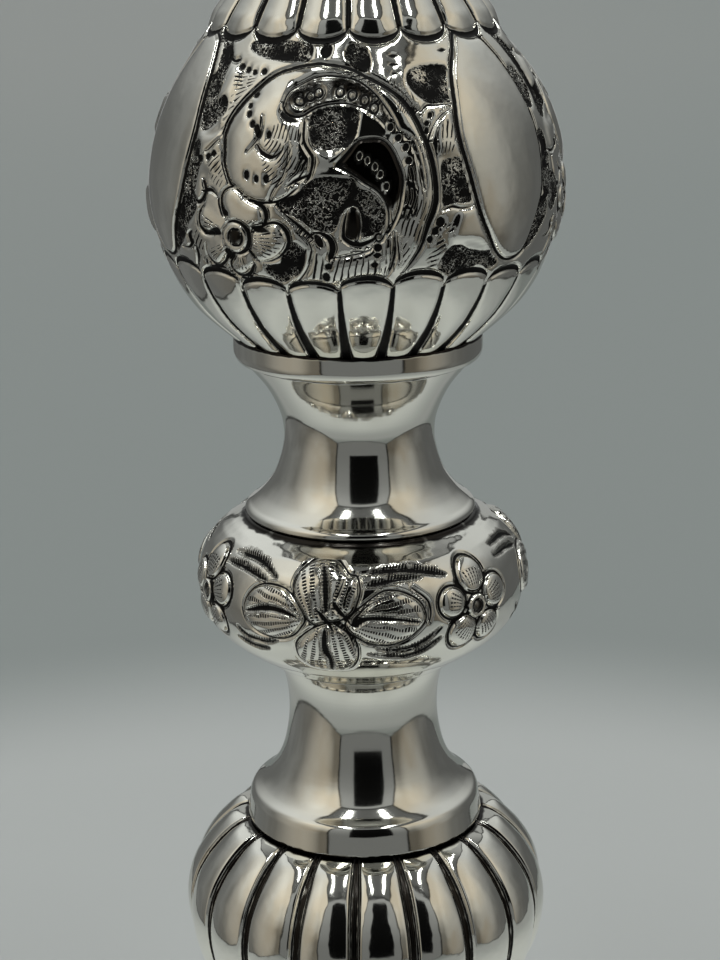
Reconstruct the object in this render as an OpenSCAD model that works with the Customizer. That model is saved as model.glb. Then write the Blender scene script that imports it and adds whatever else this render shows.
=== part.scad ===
// Silver baluster candlestick: chased hollow sections stacked on a tie rod,
// with a drip pan and candle cup that lift out of the neck.
// Bearings are measured round the stem in degrees: 0 faces -Y, 90 faces +X.

/* [Foot] */
// Radius of the foot over its skirt, under the applied rim wire
foot_r = 73; // [70:0.5:76]
// Height of the foot from the table to the seat of its ring
foot_h = 44; // [42:0.5:46]
// Height of the skirt's lower edge above the table
skirt_z = 1; // [0.8:0.1:1.4]
// Radius of the wire applied round the skirt
rim_wire_r = 1.7; // [1.4:0.1:1.8]
// Number of flutes on the bell of the foot
foot_flutes = 24; // [12:1:30]
// Number of beads round the foot
foot_beads = 72; // [48:4:80]

/* [Stem] */
// Height of the plain ring on the foot
foot_ring_h = 6; // [5:0.5:8]
// Height of the low spool between foot and bulb
low_spool_h = 24; // [22:0.5:28]
// Height of the fluted bulb
bulb_h = 45; // [42:0.5:48]
// Number of lobes round the bulb
bulb_lobes = 19; // [16:1:22]
// Height of the spool between bulb and knop
mid_spool_h = 31; // [29:0.5:33]
// Height of the flowered knop
knop_h = 27; // [26:0.5:28]
// Height of the spool between knop and pear
top_spool_h = 27.5; // [26:0.5:29]
// Height of the plain band under the pear
collar_h = 4.5; // [4:0.1:5]
// Radius of the plain band under the pear
collar_r = 21.5; // [21.4:0.1:22.5]

/* [Pear] */
// Height of the pear
pear_h = 81; // [78:1:84]
// Largest radius of the pear
pear_r = 35; // [34:0.5:36]
// Lobes round the bottom of the pear
pear_low_lobes = 24; // [24:1:24]
// Lobes round the shoulder of the pear
pear_high_lobes = 18; // [18:1:18]
// Height of the relief chased on the pear
pear_relief = 0.9; // [0.4:0.1:1.2]

/* [Neck] */
// Height of the ring on the pear
neck_ring_h = 4; // [3.5:0.5:5]
// Height of the neck
neck_h = 34; // [33:0.5:36]

/* [Pan and cup] */
// Radius of the drip pan to the middle of its scalloped edge
pan_r = 34; // [32:0.5:36]
// Petals round the drip pan
pan_lobes = 8; // [7:1:10]
// Diameter of the candle that the cup takes
candle_d = 22; // [20:0.5:22.5]
// Depth of the candle's bore
candle_depth = 24; // [20:0.5:26]
// Outer radius of the tube that drops into the neck
spigot_tube_r = 6; // [5.8:0.1:6.2]

/* [Making] */
// Thickness of the silver
wall = 1; // [0.8:0.1:1.2]
// Thickness of the flat ends of each section
flange_t = 1.5; // [1.2:0.1:1.8]
// Radius of the tie rod
rod_r = 3; // [2.5:0.5:3.5]

/* [Hidden] */
$fn = 96;

silver = "silver";

// Heights of the joints, from the table up.
ring_z = foot_h;
low_spool_z = ring_z + foot_ring_h;
bulb_z = low_spool_z + low_spool_h;
mid_spool_z = bulb_z + bulb_h;
knop_z = mid_spool_z + mid_spool_h;
top_spool_z = knop_z + knop_h;
collar_z = top_spool_z + top_spool_h;
pear_z = collar_z + collar_h;
neck_ring_z = pear_z + pear_h;
neck_z = neck_ring_z + neck_ring_h;
pan_z = neck_z + neck_h;

// Each section has a short tube under it that drops into the seat of the one below.
stem_spigot_r = 8;
neck_spigot_r = 5.6;
spigot_wall = 1.2;
spigot_len = 1.9;
seat_gap = 0.15;

// ---- Curves and revolved sections ----

// Point at share t of a smooth curve from b to c, with a and d on either side.
function through(a, b, c, d, t) =
    0.5 * (2 * b + (c - a) * t + (2 * a - 5 * b + 4 * c - d) * t * t
        + (3 * b - a - 3 * c + d) * t * t * t);

// Smooth curve through [radius, height] points, with n steps between points.
function curve(points, n) = let (last = len(points) - 1) [
    for (i = [0 : last - 1])
        for (k = [0 : n - 1])
            through(points[max(0, i - 1)], points[i], points[i + 1], points[min(last, i + 2)], k / n),
    points[last]
];

// The same curve moved inwards by a thickness.
function inset(line, t) = [
    for (i = [0 : len(line) - 1])
        let (
            along = line[min(len(line) - 1, i + 1)] - line[max(0, i - 1)],
            unit = along / norm(along)
        )
        line[i] + t * [-unit[1], unit[0]]
];

// Radius of a curve at a height.
function radius_at(line, z) = lookup(z, [for (p = line) [p[1], p[0]]]);

// Inner curve of a section, cut off at its two flat ends.
function cavity_line(line, low, high) = let (inner = inset(line, wall)) concat(
    [[radius_at(inner, low), low]],
    [for (p = inner) if (p[1] > low + 0.1 && p[1] < high - 0.1) p],
    [[radius_at(inner, high), high]]
);

function reversed(list) = [for (i = [len(list) - 1 : -1 : 0]) list[i]];

// One hollow section: flat ends, a seat hole on top and a spigot tube below.
module section(line, seat_r, tube_r) {
    low = line[0][1];
    high = line[len(line) - 1][1];
    rotate_extrude()
        polygon(concat(
            line,
            [[seat_r + seat_gap, high], [seat_r + seat_gap, high - flange_t]],
            reversed(cavity_line(line, low + flange_t, high - flange_t)),
            [
                [tube_r - spigot_wall, low + flange_t],
                [tube_r - spigot_wall, low - spigot_len],
                [tube_r, low - spigot_len],
                [tube_r, low]
            ]
        ));
}

// What is cut out of a solid body to leave the same hollow section.
module hollow(line, seat_r, tube_r) {
    low = line[0][1];
    high = line[len(line) - 1][1];
    rotate_extrude()
        polygon(concat(
            [[0, low - 1], [tube_r - spigot_wall, low - 1], [tube_r - spigot_wall, low + flange_t]],
            cavity_line(line, low + flange_t, high - flange_t),
            [
                [seat_r + seat_gap, high - flange_t],
                [seat_r + seat_gap, high + 1],
                [0, high + 1]
            ]
        ));
}

module spigot(tube_r) {
    rotate_extrude()
        polygon([
            [tube_r - spigot_wall, -spigot_len],
            [tube_r, -spigot_len],
            [tube_r, flange_t / 2],
            [tube_r - spigot_wall, flange_t / 2]
        ]);
}

// Places children at a bearing and radius, facing outwards, with +Z outwards and +Y up.
module at_bearing(bearing, r, z) {
    translate([r * sin(bearing), -r * cos(bearing), z])
        rotate([90, 0, bearing])
            children();
}

// ---- Lobed skins ----

// Solid between rings of points, each [radius, bearing, height], closed at both ends.
module ringed_solid(rings) {
    n = len(rings[0]);
    m = len(rings);
    polyhedron(
        points = [for (ring = rings) for (p = ring) [p[0] * sin(p[1]), -p[0] * cos(p[1]), p[2]]],
        faces = concat(
            [[for (i = [0 : n - 1]) i]],
            [for (j = [0 : m - 2]) for (i = [0 : n - 1]) let (k = (i + 1) % n)
                each [
                    [j * n + i, (j + 1) * n + i, j * n + k],
                    [j * n + k, (j + 1) * n + i, (j + 1) * n + k]
                ]],
            [[for (i = [n - 1 : -1 : 0]) (m - 1) * n + i]]
        )
    );
}

function ramp(x) = let (t = min(1, max(0, x))) t * t * (3 - 2 * t);

// Share of a lobe's pitch from the nearest groove: 0 in the groove, 0.5 on the crown.
function lobe_place(bearing, first, count) =
    let (p = (bearing - first) * count / 360, q = p - floor(p)) min(q, 1 - q);

// Height of a lobed surface over its mean: a crown between narrow grooves.
function lobe_rise(bearing, first, count, r, crown, groove, groove_w) =
    let (
        q = lobe_place(bearing, first, count),
        gap = q * 2 * PI * r / count
    )
    crown * (1 - pow(1 - 2 * q, 2)) - groove * (1 - ramp(gap / groove_w));

// ---- Foot ----

foot_curve = curve([
    [foot_r - 1.8, 5.4], [foot_r - 3, 8], [foot_r - 6, 12.3], [foot_r - 11, 16.8], [foot_r - 17.5, 20.4],
    [foot_r - 24, 22.5], [foot_r - 28.2, 23.2]
], 3);
bell_curve = curve([
    [42.6, 24.4], [37.5, 26.4], [31.5, 30.2], [26.5, 35], [23, 40], [21, foot_h]
], 3);
foot_line = concat(
    [[foot_r, skirt_z], [foot_r, 4.4]], foot_curve, [[43.8, 22.8], [43, 23.2]], bell_curve
);
foot_inner = concat(
    [[foot_r - wall, skirt_z], [foot_r - wall, 4]],
    inset(foot_curve, wall),
    [[42.6, 21.6]],
    [for (p = inset(bell_curve, wall)) if (p[1] < foot_h - flange_t - 0.1) p],
    [[20.2, foot_h - flange_t]]
);

// A thin upright blade that follows a curve and bites into it by a depth.
module groove_blade(line, depth, width) {
    rotate([90, 0, 0])
        linear_extrude(width, center = true)
            polygon(concat(inset(line, depth), reversed(inset(line, -2))));
}

module foot() {
    flute_line = [for (p = bell_curve) if (p[1] > 26 && p[1] < foot_h - 2) p];
    color(silver)
        difference() {
            rotate_extrude()
                polygon(concat(
                    foot_line,
                    [[stem_spigot_r + seat_gap, foot_h], [stem_spigot_r + seat_gap, foot_h - flange_t]],
                    reversed(foot_inner)
                ));
            for (i = [0 : foot_flutes - 1])
                rotate([0, 0, (i + 0.5) * 360 / foot_flutes])
                    groove_blade(flute_line, 0.6, 1);
        }
}

module foot_rim_wire() {
    color(silver)
        rotate_extrude()
            intersection() {
                translate([foot_r, skirt_z + rim_wire_r])
                    circle(rim_wire_r);
                translate([foot_r, 0])
                    square([2 * rim_wire_r, 3 * rim_wire_r]);
            }
}

// Row of half beads soldered in the groove between the dome and the bell.
module foot_beading() {
    bead_r = 1.5;
    bead_ring_r = 44.6;
    color(silver)
        intersection() {
            union()
                for (i = [0 : foot_beads - 1])
                    at_bearing(i * 360 / foot_beads, bead_ring_r, 23.2)
                        sphere(bead_r);
            translate([0, 0, 23.25])
                cylinder(h = 4, r = 60);
        }
}

module base_weight() {
    color("dimgray")
        rotate_extrude()
            polygon([
                [20, 3.2], [foot_r - 6, 3.2], [foot_r - 6, 7], [foot_r - 14, 12.5],
                [foot_r - 25, 17], [34, 19], [24, 19], [20, 15]
            ]);
}

module base_plate() {
    color("gainsboro")
        rotate_extrude()
            polygon([
                [0, 1.5], [foot_r - wall, 1.5], [foot_r - wall, 3.2], [0, 3.2]
            ]);
}

module felt_pad() {
    color("darkgreen")
        cylinder(h = 1.5, r = foot_r - 3);
}

// ---- Ring, spools and collar ----

ring_line = [for (p = curve([
    [19.2, 0], [20.6, 0.6], [21.6, 2], [21.6, 4], [20.2, 5.5], [18.6, 6]
], 3)) [p[0], ring_z + p[1] * foot_ring_h / 6]];

module foot_ring() {
    color(silver)
        section(ring_line, stem_spigot_r, stem_spigot_r);
}

low_spool_line = [for (p = concat(
    [[16.6, 0], [17.2, 0.5], [17.2, 1.6]],
    curve([[16.6, 2.2], [14.4, 5], [12.6, 9], [12.1, 13], [12.8, 17], [14.6, 21], [17, 24]], 4)
)) [p[0], low_spool_z + p[1] * low_spool_h / 24]];

module low_spool() {
    color(silver)
        section(low_spool_line, stem_spigot_r, stem_spigot_r);
}

mid_spool_line = [for (p = concat(
    [[20.6, 0], [21.1, 0.5], [21.1, 4.6], [20.7, 5.3]],
    curve([
        [20.2, 5.6], [18.5, 6.8], [16.9, 8.5], [15.4, 10.9], [14.2, 14.4], [13.4, 19.5], [13.5, 24.5], [14.3, 28.3],
        [15.8, 31]
    ], 3)
)) [p[0], mid_spool_z + p[1] * mid_spool_h / 31]];

module mid_spool() {
    color(silver)
        section(mid_spool_line, stem_spigot_r, stem_spigot_r);
}

top_spool_line = [for (p = concat(
    [[19.7, 0], [20.2, 0.4], [20.2, 1.1], [19.7, 1.6]],
    curve([
        [19.2, 1.9], [17, 3.9], [14.9, 6.9], [13.5, 11], [13.1, 14.5], [13.8, 18.3], [16.1, 23], [19.8, 27.5]
    ], 4)
)) [p[0], top_spool_z + p[1] * top_spool_h / 27.5]];

module top_spool() {
    color(silver)
        section(top_spool_line, stem_spigot_r, stem_spigot_r);
}

collar_line = [
    [20.2, collar_z], [20.9, collar_z + 0.3], [collar_r - 0.2, collar_z + 0.9],
    [collar_r, collar_z + 1.6], [collar_r, pear_z]
];

module pear_collar() {
    color(silver)
        section(collar_line, stem_spigot_r, stem_spigot_r);
}

// ---- Fluted bulb ----

bulb_line = [for (p = curve([
    [17.6, 0], [22.8, 6.5], [27.4, 13.5], [31.2, 20.5], [32.6, 28], [31.8, 34], [29.5, 39], [26.1, 43], [23.9, 45]
], 2)) [p[0], bulb_z + p[1] * bulb_h / 45]];
bulb_first_groove = -4;
bulb_crown = 0.8;
bulb_groove = 0.9;
bulb_groove_w = 0.9;
// Bearings of the columns of one lobe, as shares of its pitch.
lobe_columns = [0, 0.085, 0.28, 0.5, 0.72, 0.915];

module fluted_bulb() {
    rings = [
        for (p = bulb_line) [
            for (i = [0 : bulb_lobes - 1]) for (c = lobe_columns)
                let (
                    bearing = bulb_first_groove + (i + c) * 360 / bulb_lobes,
                    rise = lobe_rise(
                        bearing, bulb_first_groove, bulb_lobes, p[0], bulb_crown, bulb_groove, bulb_groove_w
                    )
                )
                [p[0] + rise - bulb_crown / 2, bearing, p[1]]
        ]
    ];
    color(silver) {
        difference() {
            ringed_solid(rings);
            hollow([for (p = bulb_line) [p[0] - 1.4, p[1]]], stem_spigot_r, stem_spigot_r);
        }
        translate([0, 0, bulb_z])
            spigot(stem_spigot_r);
    }
}

// ---- Flowered knop ----

knop_line = [for (p = concat(
    [[16.2, 0], [17.3, 0.5], [19.6, 2.6]],
    curve([
        [21.2, 3.2], [25.1, 6.2], [27.5, 9.2], [28.6, 12.5], [28.9, 16], [28.2, 19.5], [26.6, 22.4], [24.4, 24.6]
    ], 3),
    [[23.2, 25.3], [22, 25.7], [21.4, 26.3], [21.2, 27]]
)) [p[0], knop_z + p[1] * knop_h / 27]];
knop_relief = 0.7;
flower_bearings = [-66, 42, 168];
leaf_bearings = [-12, 105, 231];
motif_z = knop_z + 15.2;
petals = 5;

// Outline of a leaf with its tips on the X axis, from two arcs.
module leaf(length, width) {
    arc_r = (length * length + width * width) / (4 * width);
    intersection() {
        translate([0, arc_r - width / 2])
            circle(arc_r);
        translate([0, width / 2 - arc_r])
            circle(arc_r);
    }
}

// Round-petalled flower, with a raised middle.
module flower_prism() {
    for (i = [0 : petals - 1])
        rotate([0, 0, 90 + i * 360 / petals])
            translate([5.1, 0, 0])
                cylinder(h = 20, r = 3);
    cylinder(h = 20, r = 2.2);
}

// Four leaves round a knot: two upright and two lying along the band.
module leaf_prism() {
    for (a = [0, 180])
        rotate([0, 0, a])
            translate([9.6, 0, 0])
                linear_extrude(20)
                    leaf(15.5, 9);
    for (a = [90, 270])
        rotate([0, 0, a])
            translate([5.9, 0, 0])
                linear_extrude(20)
                    leaf(10.6, 9.6);
}

module flowered_knop() {
    middle = [for (p = knop_line) if (p[1] > knop_z + 3 && p[1] < knop_z + 25) p];
    raised = inset(middle, -knop_relief);
    color(silver) {
        difference() {
            union() {
                rotate_extrude()
                    polygon(concat([[0, knop_z]], knop_line, [[0, knop_z + knop_h]]));
                intersection() {
                    rotate_extrude()
                        polygon(concat([[16, raised[0][1]]], raised, [[16, raised[len(raised) - 1][1]]]));
                    union() {
                        for (b = flower_bearings)
                            at_bearing(b, 20, motif_z)
                                flower_prism();
                        for (b = leaf_bearings)
                            at_bearing(b, 20, motif_z)
                                leaf_prism();
                    }
                }
            }
            hollow(knop_line, stem_spigot_r, stem_spigot_r);
        }
        translate([0, 0, knop_z])
            spigot(stem_spigot_r);
    }
}

// ---- Pear ----

pear_points = [
    [21.4, 0], [27.8, 6], [32.4, 13], [35, 22], [34.5, 31], [31.6, 40], [27, 48], [21.2, 56],
    [15.6, 64], [11.4, 72], [9.2, 81]
];
pear_line = [for (p = curve(pear_points, 3))
    [p[0] * (1 + (pear_r / 35 - 1) * ramp((p[0] - 21.4) / 10)), pear_z + p[1] * pear_h / 81]];
low_lobe_top = 15;
high_lobe_foot = 51;
high_lobe_top = 74;
low_lobe_first = -5;
high_lobe_first = -2;
pear_columns = 144;
window_bearings = [-67, 46, 169];
window_half = 16;
window_foot = 16;
window_top = 52;

// Columns crowd towards the grooves where the lobes are, and are even between.
low_columns = [0, 1.3, 4.2, 7.5, 10.8, 13.7];
high_columns = [0, 1.4, 3.9, 7, 10, 13, 16.1, 18.6];
function column(k, h) =
    let (
        low = low_lobe_first + 15 * floor(k / 6) + low_columns[k % 6],
        high = high_lobe_first + 20 * floor(k / 8) + high_columns[k % 8],
        even = low_lobe_first + 1.5 + 2.5 * k
    )
    h < low_lobe_top + 1 ? low : h > high_lobe_foot - 1 ? high - (high_lobe_first - low_lobe_first) : even;

// Rise of the plain pointed windows: high in the middle, with a groove at the edge.
function window_rise(bearing, h) =
    let (
        t = (h - window_foot) / (window_top - window_foot),
        half = window_half * (t < 0.45 ? 0.4 + 0.6 * ramp(t / 0.45) : 1 - pow((t - 0.45) / 0.55, 2)),
        off = min([for (b = window_bearings) abs((bearing - b + 540) % 360 - 180)])
    )
    t <= 0 || t >= 1 || off > half + 2.5 ? 0
        : off > half ? -pear_relief
        : 0.6 * pear_relief * (1 - pow(off / half, 2));

// Rise of the rolled scroll in each field between two windows.
scroll_bearings = [-9, 109, 233];
scroll_h = 30;
scroll_r = 11;
function scroll_rise(bearing, h) =
    max([for (b = scroll_bearings)
        let (
            x = ((bearing - b + 540) % 360 - 180) * PI * pear_r / 180,
            d = norm([x, h - scroll_h]),
            open = x < 0 && h < scroll_h - 5
        )
        open ? 0 : pear_relief * (1 - ramp((abs(d - scroll_r) - 1.5) / 2.5))
    ]);

// Rise of the flower below the open end of each scroll.
function blossom_rise(bearing, h) =
    max([for (b = scroll_bearings)
        let (
            x = ((bearing - b + 24 + 540) % 360 - 180) * PI * pear_r / 180,
            y = h - 22,
            d = norm([x, y])
        )
        pear_relief * (1 - ramp((d - 4.5 - cos(5 * atan2(y, x))) / 1.6))
    ]);

function pear_rise(bearing, h, r) =
    h < low_lobe_top ? lobe_rise(bearing, low_lobe_first, pear_low_lobes, r, 0.6, 0.9, 0.9)
        : h < high_lobe_foot - 1 ? max(window_rise(bearing, h), scroll_rise(bearing, h), blossom_rise(bearing, h))
            + min(0, window_rise(bearing, h))
        : h < high_lobe_top ? lobe_rise(bearing, high_lobe_first, pear_high_lobes, r, 0.6, 0.8, 0.8)
        : 0;

module pear_body() {
    rings = [
        for (p = pear_line) [
            for (k = [0 : pear_columns - 1])
                let (h = (p[1] - pear_z) * 81 / pear_h, bearing = column(k, h))
                [p[0] + pear_rise(bearing, h, p[0]) - (h < 2 ? 0.6 : 0), bearing, p[1]]
        ]
    ];
    color(silver) {
        difference() {
            ringed_solid(rings);
            hollow([for (p = pear_line) [p[0] - 1.4, p[1]]], neck_spigot_r, stem_spigot_r);
        }
        translate([0, 0, pear_z])
            spigot(stem_spigot_r);
    }
}

// ---- Neck ----

neck_ring_line = [for (p = curve([
    [9.4, 0], [11, 0.6], [11.8, 2], [11, 3.4], [9.6, 4]
], 3)) [p[0], neck_ring_z + p[1] * neck_ring_h / 4]];

module neck_ring() {
    color(silver)
        section(neck_ring_line, neck_spigot_r, neck_spigot_r);
}

neck_line = [for (p = curve([
    [9.2, 0], [8, 2.5], [7.5, 6], [8, 11], [9.4, 17], [9.8, 21], [9.1, 25], [9.4, 29], [11.2, 32.4], [13.4, 34]
], 3)) [p[0], neck_z + p[1] * neck_h / 34]];
socket_r = spigot_tube_r + 0.08;
socket_depth = 17;
shelf_z = neck_z + 9;
shelf_t = 2.5;
rod_hole_r = rod_r + 0.3;

// The neck holds the rod's upper nut on a shelf, with the pan's socket above it.
module neck() {
    nut_room_r = 5.9;
    color(silver)
        rotate_extrude()
            polygon(concat(
                neck_line,
                [
                    [socket_r, pan_z],
                    [socket_r, pan_z - socket_depth],
                    [nut_room_r, pan_z - socket_depth],
                    [nut_room_r, shelf_z],
                    [rod_hole_r, shelf_z],
                    [rod_hole_r, shelf_z - shelf_t],
                    [neck_spigot_r - spigot_wall, shelf_z - shelf_t],
                    [neck_spigot_r - spigot_wall, neck_z - spigot_len],
                    [neck_spigot_r, neck_z - spigot_len],
                    [neck_spigot_r, neck_z]
                ]
            ));
}

// ---- Tie rod ----

bridge_t = 3;
bridge_rim = 2;
bridge_z = foot_h - flange_t - bridge_rim - bridge_t;
washer_t = 1;
nut_h = 3.6;
nut_across_corners = 11;
rod_foot_z = bridge_z - washer_t - nut_h - 3;
rod_top_z = shelf_z + washer_t + nut_h + 1;

// Dished disc that the lower nut pulls up against the top of the foot.
module rod_bridge() {
    rim_inner_r = stem_spigot_r + 1;
    rim_outer_r = 17;
    color("gray")
        translate([0, 0, bridge_z])
            rotate_extrude()
                polygon([
                    [rod_hole_r, 0],
                    [rim_outer_r, 0],
                    [rim_outer_r, bridge_t + bridge_rim],
                    [rim_inner_r, bridge_t + bridge_rim],
                    [rim_inner_r, bridge_t],
                    [rod_hole_r, bridge_t]
                ]);
}

module tie_rod() {
    color("gray")
        translate([0, 0, rod_foot_z])
            cylinder(h = rod_top_z - rod_foot_z, r = rod_r);
}

module washer(outer_r) {
    difference() {
        cylinder(h = washer_t, r = outer_r);
        translate([0, 0, -1])
            cylinder(h = washer_t + 2, r = rod_hole_r);
    }
}

module rod_washers() {
    color("gray") {
        translate([0, 0, bridge_z - washer_t])
            washer(8);
        translate([0, 0, shelf_z])
            washer(5.5);
    }
}

module hex_nut() {
    difference() {
        cylinder(h = nut_h, d = nut_across_corners, $fn = 6);
        translate([0, 0, -1])
            cylinder(h = nut_h + 2, r = rod_r);
    }
}

module rod_nuts() {
    color("gray") {
        translate([0, 0, bridge_z - washer_t - nut_h])
            hex_nut();
        translate([0, 0, shelf_z + washer_t])
            hex_nut();
    }
}

// ---- Drip pan and candle cup ----

pan_under = curve([[12.5, 1.2], [17, 1.6], [23, 3.6], [29, 7.6], [pan_r, 9.6]], 2);
pan_t = 1.2;
pan_hole_r = spigot_tube_r;
pan_first = -22;
pan_scallop = 2.4;

// Radius of the scalloped outline, as a share of the way out to the edge.
function scalloped(r, bearing) =
    let (q = lobe_place(bearing, pan_first, pan_lobes))
    r + pan_scallop * ramp((r - 18) / (pan_r - 18)) * (sin(180 * q) * 1.6 - 1);

function pan_ring(r, z, dip) = [
    for (i = [0 : pan_lobes - 1]) for (c = lobe_columns)
        let (
            bearing = pan_first + (i + c) * 360 / pan_lobes,
            q = lobe_place(bearing, pan_first, pan_lobes),
            ridge = 1.1 * ramp((r - 14) / 12) * (1 - sin(180 * q))
        )
        [scalloped(r, bearing), bearing, z + ridge + dip]
];

// The dish and its scalloped edge, ribbed between the petals.
module drip_pan() {
    rings = concat(
        [for (p = pan_under) pan_ring(p[0], pan_z + p[1], 0)],
        [for (p = reversed(pan_under)) pan_ring(p[0] - 0.3, pan_z + p[1] + pan_t, 0)]
    );
    color(silver)
        difference() {
            ringed_solid(rings);
            translate([0, 0, pan_z - 5])
                cylinder(h = 30, r = pan_hole_r);
        }
}

// Turned collar under the pan, which sits on the neck.
module pan_boss() {
    color(silver)
        rotate_extrude()
            polygon([
                [spigot_tube_r, pan_z], [13, pan_z], [13.6, pan_z + 0.5], [12.9, pan_z + 1.2], [spigot_tube_r, pan_z + 1.2]
            ]);
}

// Tube that drops into the neck and holds cup, pan and boss together.
module spigot_tube() {
    color(silver)
        rotate_extrude()
            polygon([
                [spigot_tube_r - 1, pan_z - 15], [spigot_tube_r, pan_z - 15],
                [spigot_tube_r, pan_z + 2.4], [spigot_tube_r - 1, pan_z + 2.4]
            ]);
}

cup_z = pan_z + 2.4;
bore_r = candle_d / 2 + 0.2;
bore_z = cup_z + 3;
cup_top = bore_z + candle_depth;
cup_line = curve([
    [10.6, cup_z], [12.2, cup_z + 1.6], [13.3, cup_z + 4.5], [13.8, cup_z + 9], [13.3, cup_z + 15.5],
    [13, cup_z + 20.5], [14.1, cup_z + 23.8], [16.2, cup_top - 1]
], 3);

// Vase-shaped cup with the candle's bore.
module candle_cup() {
    color(silver)
        rotate_extrude()
            polygon(concat(
                [[0, cup_z]],
                cup_line,
                [[16, cup_top - 0.2], [15, cup_top], [bore_r, cup_top], [bore_r, bore_z], [0, bore_z]]
            ));
}

// Fine beads soldered round the lip of the cup.
module cup_beading() {
    bead_r = 0.9;
    beads = 48;
    color(silver)
        for (i = [0 : beads - 1])
            at_bearing(i * 360 / beads, 16.2 + bead_r, cup_top - 1)
                sphere(bead_r);
}

foot();
foot_rim_wire();
foot_beading();
base_weight();
base_plate();
felt_pad();
foot_ring();
low_spool();
fluted_bulb();
mid_spool();
flowered_knop();
top_spool();
pear_collar();
pear_body();
neck_ring();
neck();
rod_bridge();
tie_rod();
rod_washers();
rod_nuts();
drip_pan();
pan_boss();
spigot_tube();
candle_cup();
cup_beading();
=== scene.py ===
"""Looks of a chased silver baluster candlestick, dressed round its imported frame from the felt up.

Bearings are measured round the stem: 0 faces -Y, 90 faces +X. Shapes are worked out in millimetres.
"""

import math

import bpy
import numpy as np
from mathutils import Matrix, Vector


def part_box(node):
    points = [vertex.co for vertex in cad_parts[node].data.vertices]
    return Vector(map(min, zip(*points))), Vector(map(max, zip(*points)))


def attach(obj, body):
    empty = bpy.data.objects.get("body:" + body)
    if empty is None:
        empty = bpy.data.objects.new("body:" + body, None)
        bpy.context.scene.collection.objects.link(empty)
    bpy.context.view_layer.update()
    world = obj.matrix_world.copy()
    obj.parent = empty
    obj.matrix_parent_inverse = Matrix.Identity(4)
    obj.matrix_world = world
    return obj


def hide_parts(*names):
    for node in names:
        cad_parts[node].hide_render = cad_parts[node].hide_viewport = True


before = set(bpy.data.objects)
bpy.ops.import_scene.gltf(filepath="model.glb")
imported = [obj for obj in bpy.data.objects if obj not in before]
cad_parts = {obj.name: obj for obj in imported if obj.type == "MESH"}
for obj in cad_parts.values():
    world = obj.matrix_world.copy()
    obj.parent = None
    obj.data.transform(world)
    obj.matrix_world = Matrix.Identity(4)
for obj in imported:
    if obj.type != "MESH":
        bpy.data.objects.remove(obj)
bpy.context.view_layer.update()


# ---- Felt, plate and what is hidden in the stem ----
# A felt disc is glued to a thin steel plate that closes the foot over its cast filler. A steel rod runs up
# through every section of the stem, with a dished disc, washers and nuts that draw them together.

class Shade:
    """A socket of a node tree. Operators on it add Math nodes, and add() makes any other node."""

    def __init__(self, tree, socket=None):
        self.tree = tree
        self.socket = socket

    def add(self, kind, settings=None, inputs=None, output=0):
        """New node: its settings first, then its inputs by name or number, as values or links."""
        node = self.tree.nodes.new(kind)
        for name, value in (settings or {}).items():
            setattr(node, name, value)
        for name, value in (inputs or {}).items():
            if isinstance(value, Shade):
                self.tree.links.new(value.socket, node.inputs[name])
            else:
                node.inputs[name].default_value = value
        return Shade(self.tree, node.outputs[output] if node.outputs else None)

    def maths(self, operation, *others):
        """Math node with this socket first."""
        return self.add("ShaderNodeMath", {"operation": operation}, dict(enumerate((self, *others))))

    def __add__(self, other):
        return self.maths("ADD", other)

    def __sub__(self, other):
        return self.maths("SUBTRACT", other)

    def __rsub__(self, other):
        return self.maths("MULTIPLY_ADD", -1.0, other)

    def __mul__(self, other):
        return self.maths("MULTIPLY", other)

    __radd__ = __add__
    __rmul__ = __mul__

    def within(self, low, high):
        """0 below low, 1 above high, smooth between; low may be above high."""
        settings = {"interpolation_type": "SMOOTHSTEP", "clamp": True}
        if low < high:
            return self.add("ShaderNodeMapRange", settings, {0: self, 1: low, 2: high})
        return 1 - self.add("ShaderNodeMapRange", settings, {0: self, 1: high, 2: low})

    def colours(self, first, second):
        """Mix of two colours with this socket as its factor."""
        return self.add("ShaderNodeMix", {"data_type": "RGBA"}, {0: self, 6: first, 7: second}, output=2)

    def largest(self, *others):
        """The largest of this value and some others."""
        top = self
        for other in others:
            top = top.maths("MAXIMUM", other)
        return top

    def bump(self, strength, distance):
        """Normals of a skin whose height this value is; distance is in metres."""
        return self.add("ShaderNodeBump", None, {"Strength": strength, "Distance": distance, "Height": self})

    def parts(self):
        """The x, y and z of a vector."""
        split = self.add("ShaderNodeSeparateXYZ", None, {"Vector": self}).socket.node
        return [Shade(self.tree, output) for output in split.outputs]


def finish_of(name, paint):
    """A material whose shader sockets are what paint(shade) returns: a dictionary of values and links."""
    material = bpy.data.materials.new(name)
    material.use_nodes = True
    tree = material.node_tree
    tree.nodes.clear()
    shade = Shade(tree)
    surface = shade.add("ShaderNodeBsdfPrincipled", None, paint(shade))
    shade.add("ShaderNodeOutputMaterial", None, {"Surface": surface})
    return material


def grain(shade, scale, detail=2.0, rough=0.5):
    """Noise on Object coordinates; scale is in cells per metre."""
    place = shade.add("ShaderNodeTexCoord", output=3)
    return shade.add(
        "ShaderNodeTexNoise", None, {"Vector": place, "Scale": scale, "Detail": detail, "Roughness": rough}
    )


def felt_paint(shade):
    fibres = grain(shade, 2600, 4.0, 0.7)
    tone = grain(shade, 90, 3.0).colours((0.012, 0.030, 0.020, 1), (0.022, 0.046, 0.030, 1))
    return {
        "Base Color": fibres.within(0.3, 0.8).colours(tone, (0.045, 0.07, 0.05, 1)),
        "Roughness": 0.95,
        "Sheen Weight": 0.4,
        "Normal": fibres.bump(0.6, 0.0004),
    }


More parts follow.
